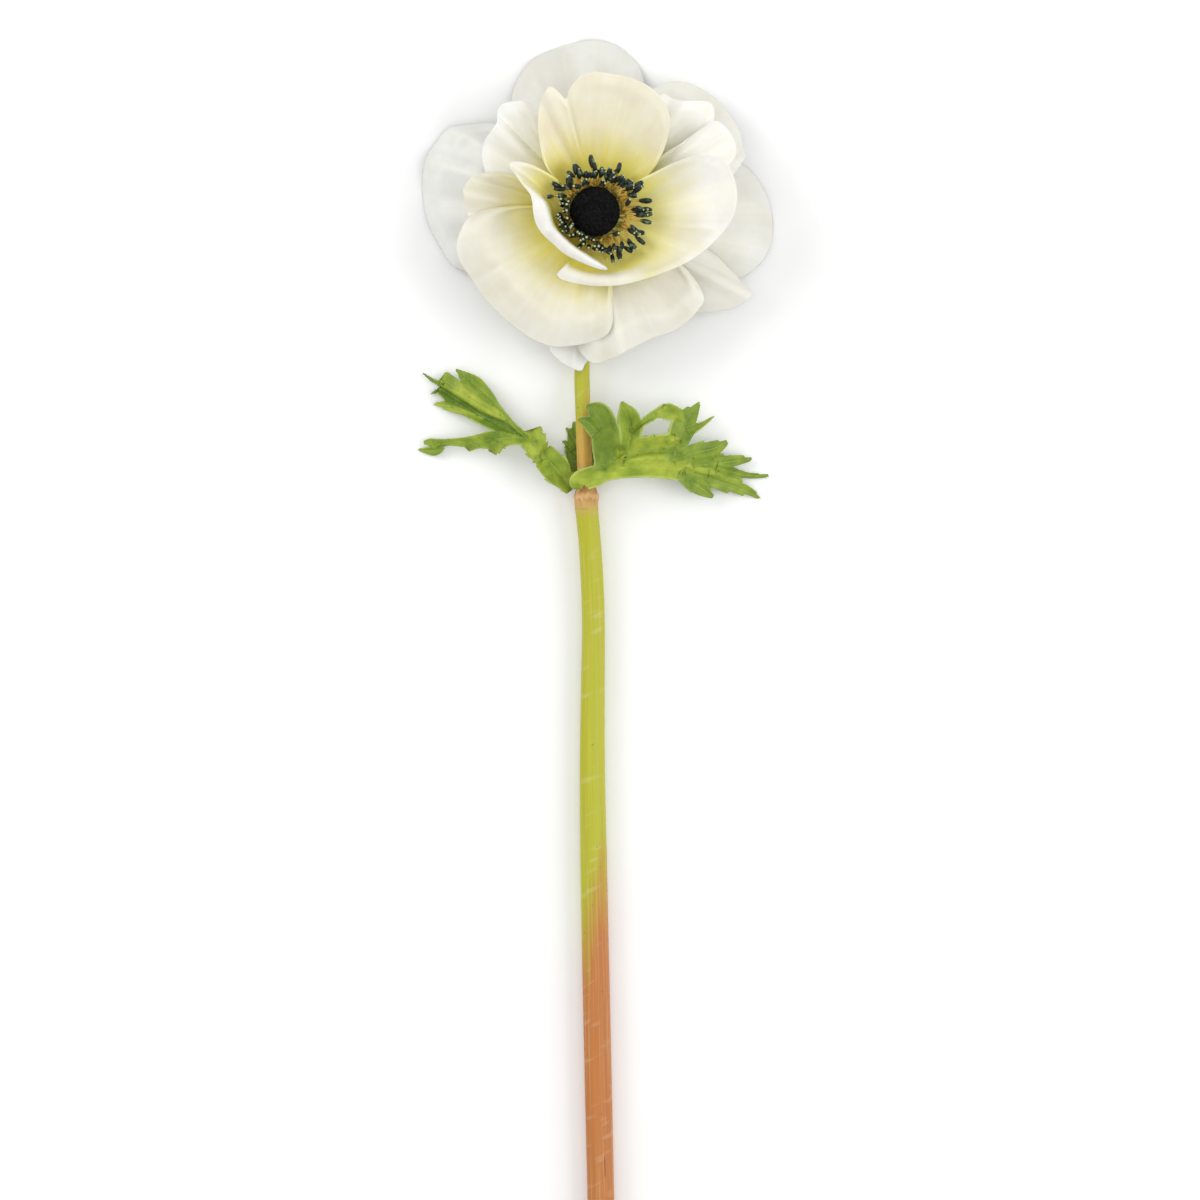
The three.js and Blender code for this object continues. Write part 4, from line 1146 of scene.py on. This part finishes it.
filament_radius = 0.26 * MM
stamen_tree, inside, outside, stamen_inputs = start_tree(
    "stamens", "GeometryNodeTree",
    [("Lines", "Geometry", None), ("Filament radius", "Float", filament_radius), ("Seed", "Int", 3)],
    ("Stamens", "Geometry"))
smooth = stamen_tree.nodes.new("GeometryNodeResampleCurve")
smooth.inputs["Count"].default_value = 8
ring = stamen_tree.nodes.new("GeometryNodeCurvePrimitiveCircle")
ring.inputs["Resolution"].default_value = 7
tube = stamen_tree.nodes.new("GeometryNodeCurveToMesh")
tube.inputs["Fill Caps"].default_value = True
filament_paint = painted(stamen_tree, filament_skin)
ends = stamen_tree.nodes.new("GeometryNodeCurveEndpointSelection")
ends.inputs["Start Size"].default_value = 0
ends.inputs["End Size"].default_value = 1
heading = stamen_tree.nodes.new("GeometryNodeInputTangent")
aim = stamen_tree.nodes.new("FunctionNodeAlignRotationToVector")
aim.axis = "Z"
spin, spin_angle = uneven_size(stamen_tree, 0, 6.28)
sizes, anther_size = uneven_size(stamen_tree, 0.82, 1.15)
twist = stamen_tree.nodes.new("FunctionNodeAxisAngleToRotation")
twist.inputs["Axis"].default_value = (0, 0, 1)
turned_aim = stamen_tree.nodes.new("FunctionNodeRotateRotation")
turned_aim.rotation_space = "LOCAL"
pattern = stamen_tree.nodes.new("GeometryNodeObjectInfo")
pattern.inputs["Object"].default_value = anther
place = stamen_tree.nodes.new("GeometryNodeInstanceOnPoints")
realize = stamen_tree.nodes.new("GeometryNodeRealizeInstances")
anther_paint = painted(stamen_tree, anther_skin)
join = stamen_tree.nodes.new("GeometryNodeJoinGeometry")
feed(stamen_tree, twist.inputs["Angle"], spin_angle)
feed(stamen_tree, place.inputs["Scale"], anther_size)
wire(stamen_tree, (inside, "Lines", smooth, "Curve"), (smooth, "Curve", tube, "Curve"),
     (inside, "Filament radius", ring, "Radius"), (ring, "Curve", tube, "Profile Curve"),
     (tube, "Mesh", filament_paint, "Geometry"), (smooth, "Curve", place, "Points"),
     (ends, "Selection", place, "Selection"), (heading, "Tangent", aim, "Vector"),
     (inside, "Seed", spin, "Seed"), (inside, "Seed", sizes, "Seed"),
     (aim, "Rotation", turned_aim, "Rotation"), (twist, "Rotation", turned_aim, "Rotate By"),
     (turned_aim, "Rotation", place, "Rotation"), (pattern, "Geometry", place, "Instance"),
     (place, "Instances", realize, "Geometry"), (realize, "Geometry", anther_paint, "Geometry"),
     (filament_paint, "Geometry", join, "Geometry"), (anther_paint, "Geometry", join, "Geometry"),
     (join, "Geometry", outside, "Stamens"))

stamens = grow("ring_of_stamens", thread_lines, stamen_tree, zip(stamen_inputs[1:], (filament_radius, 3)))
bpy.data.objects.remove(anther)
for polygon in stamens.data.polygons:
    polygon.use_smooth = True
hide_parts(*[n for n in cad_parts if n.startswith("stamen_")])
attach(stamens, "root")

low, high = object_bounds()
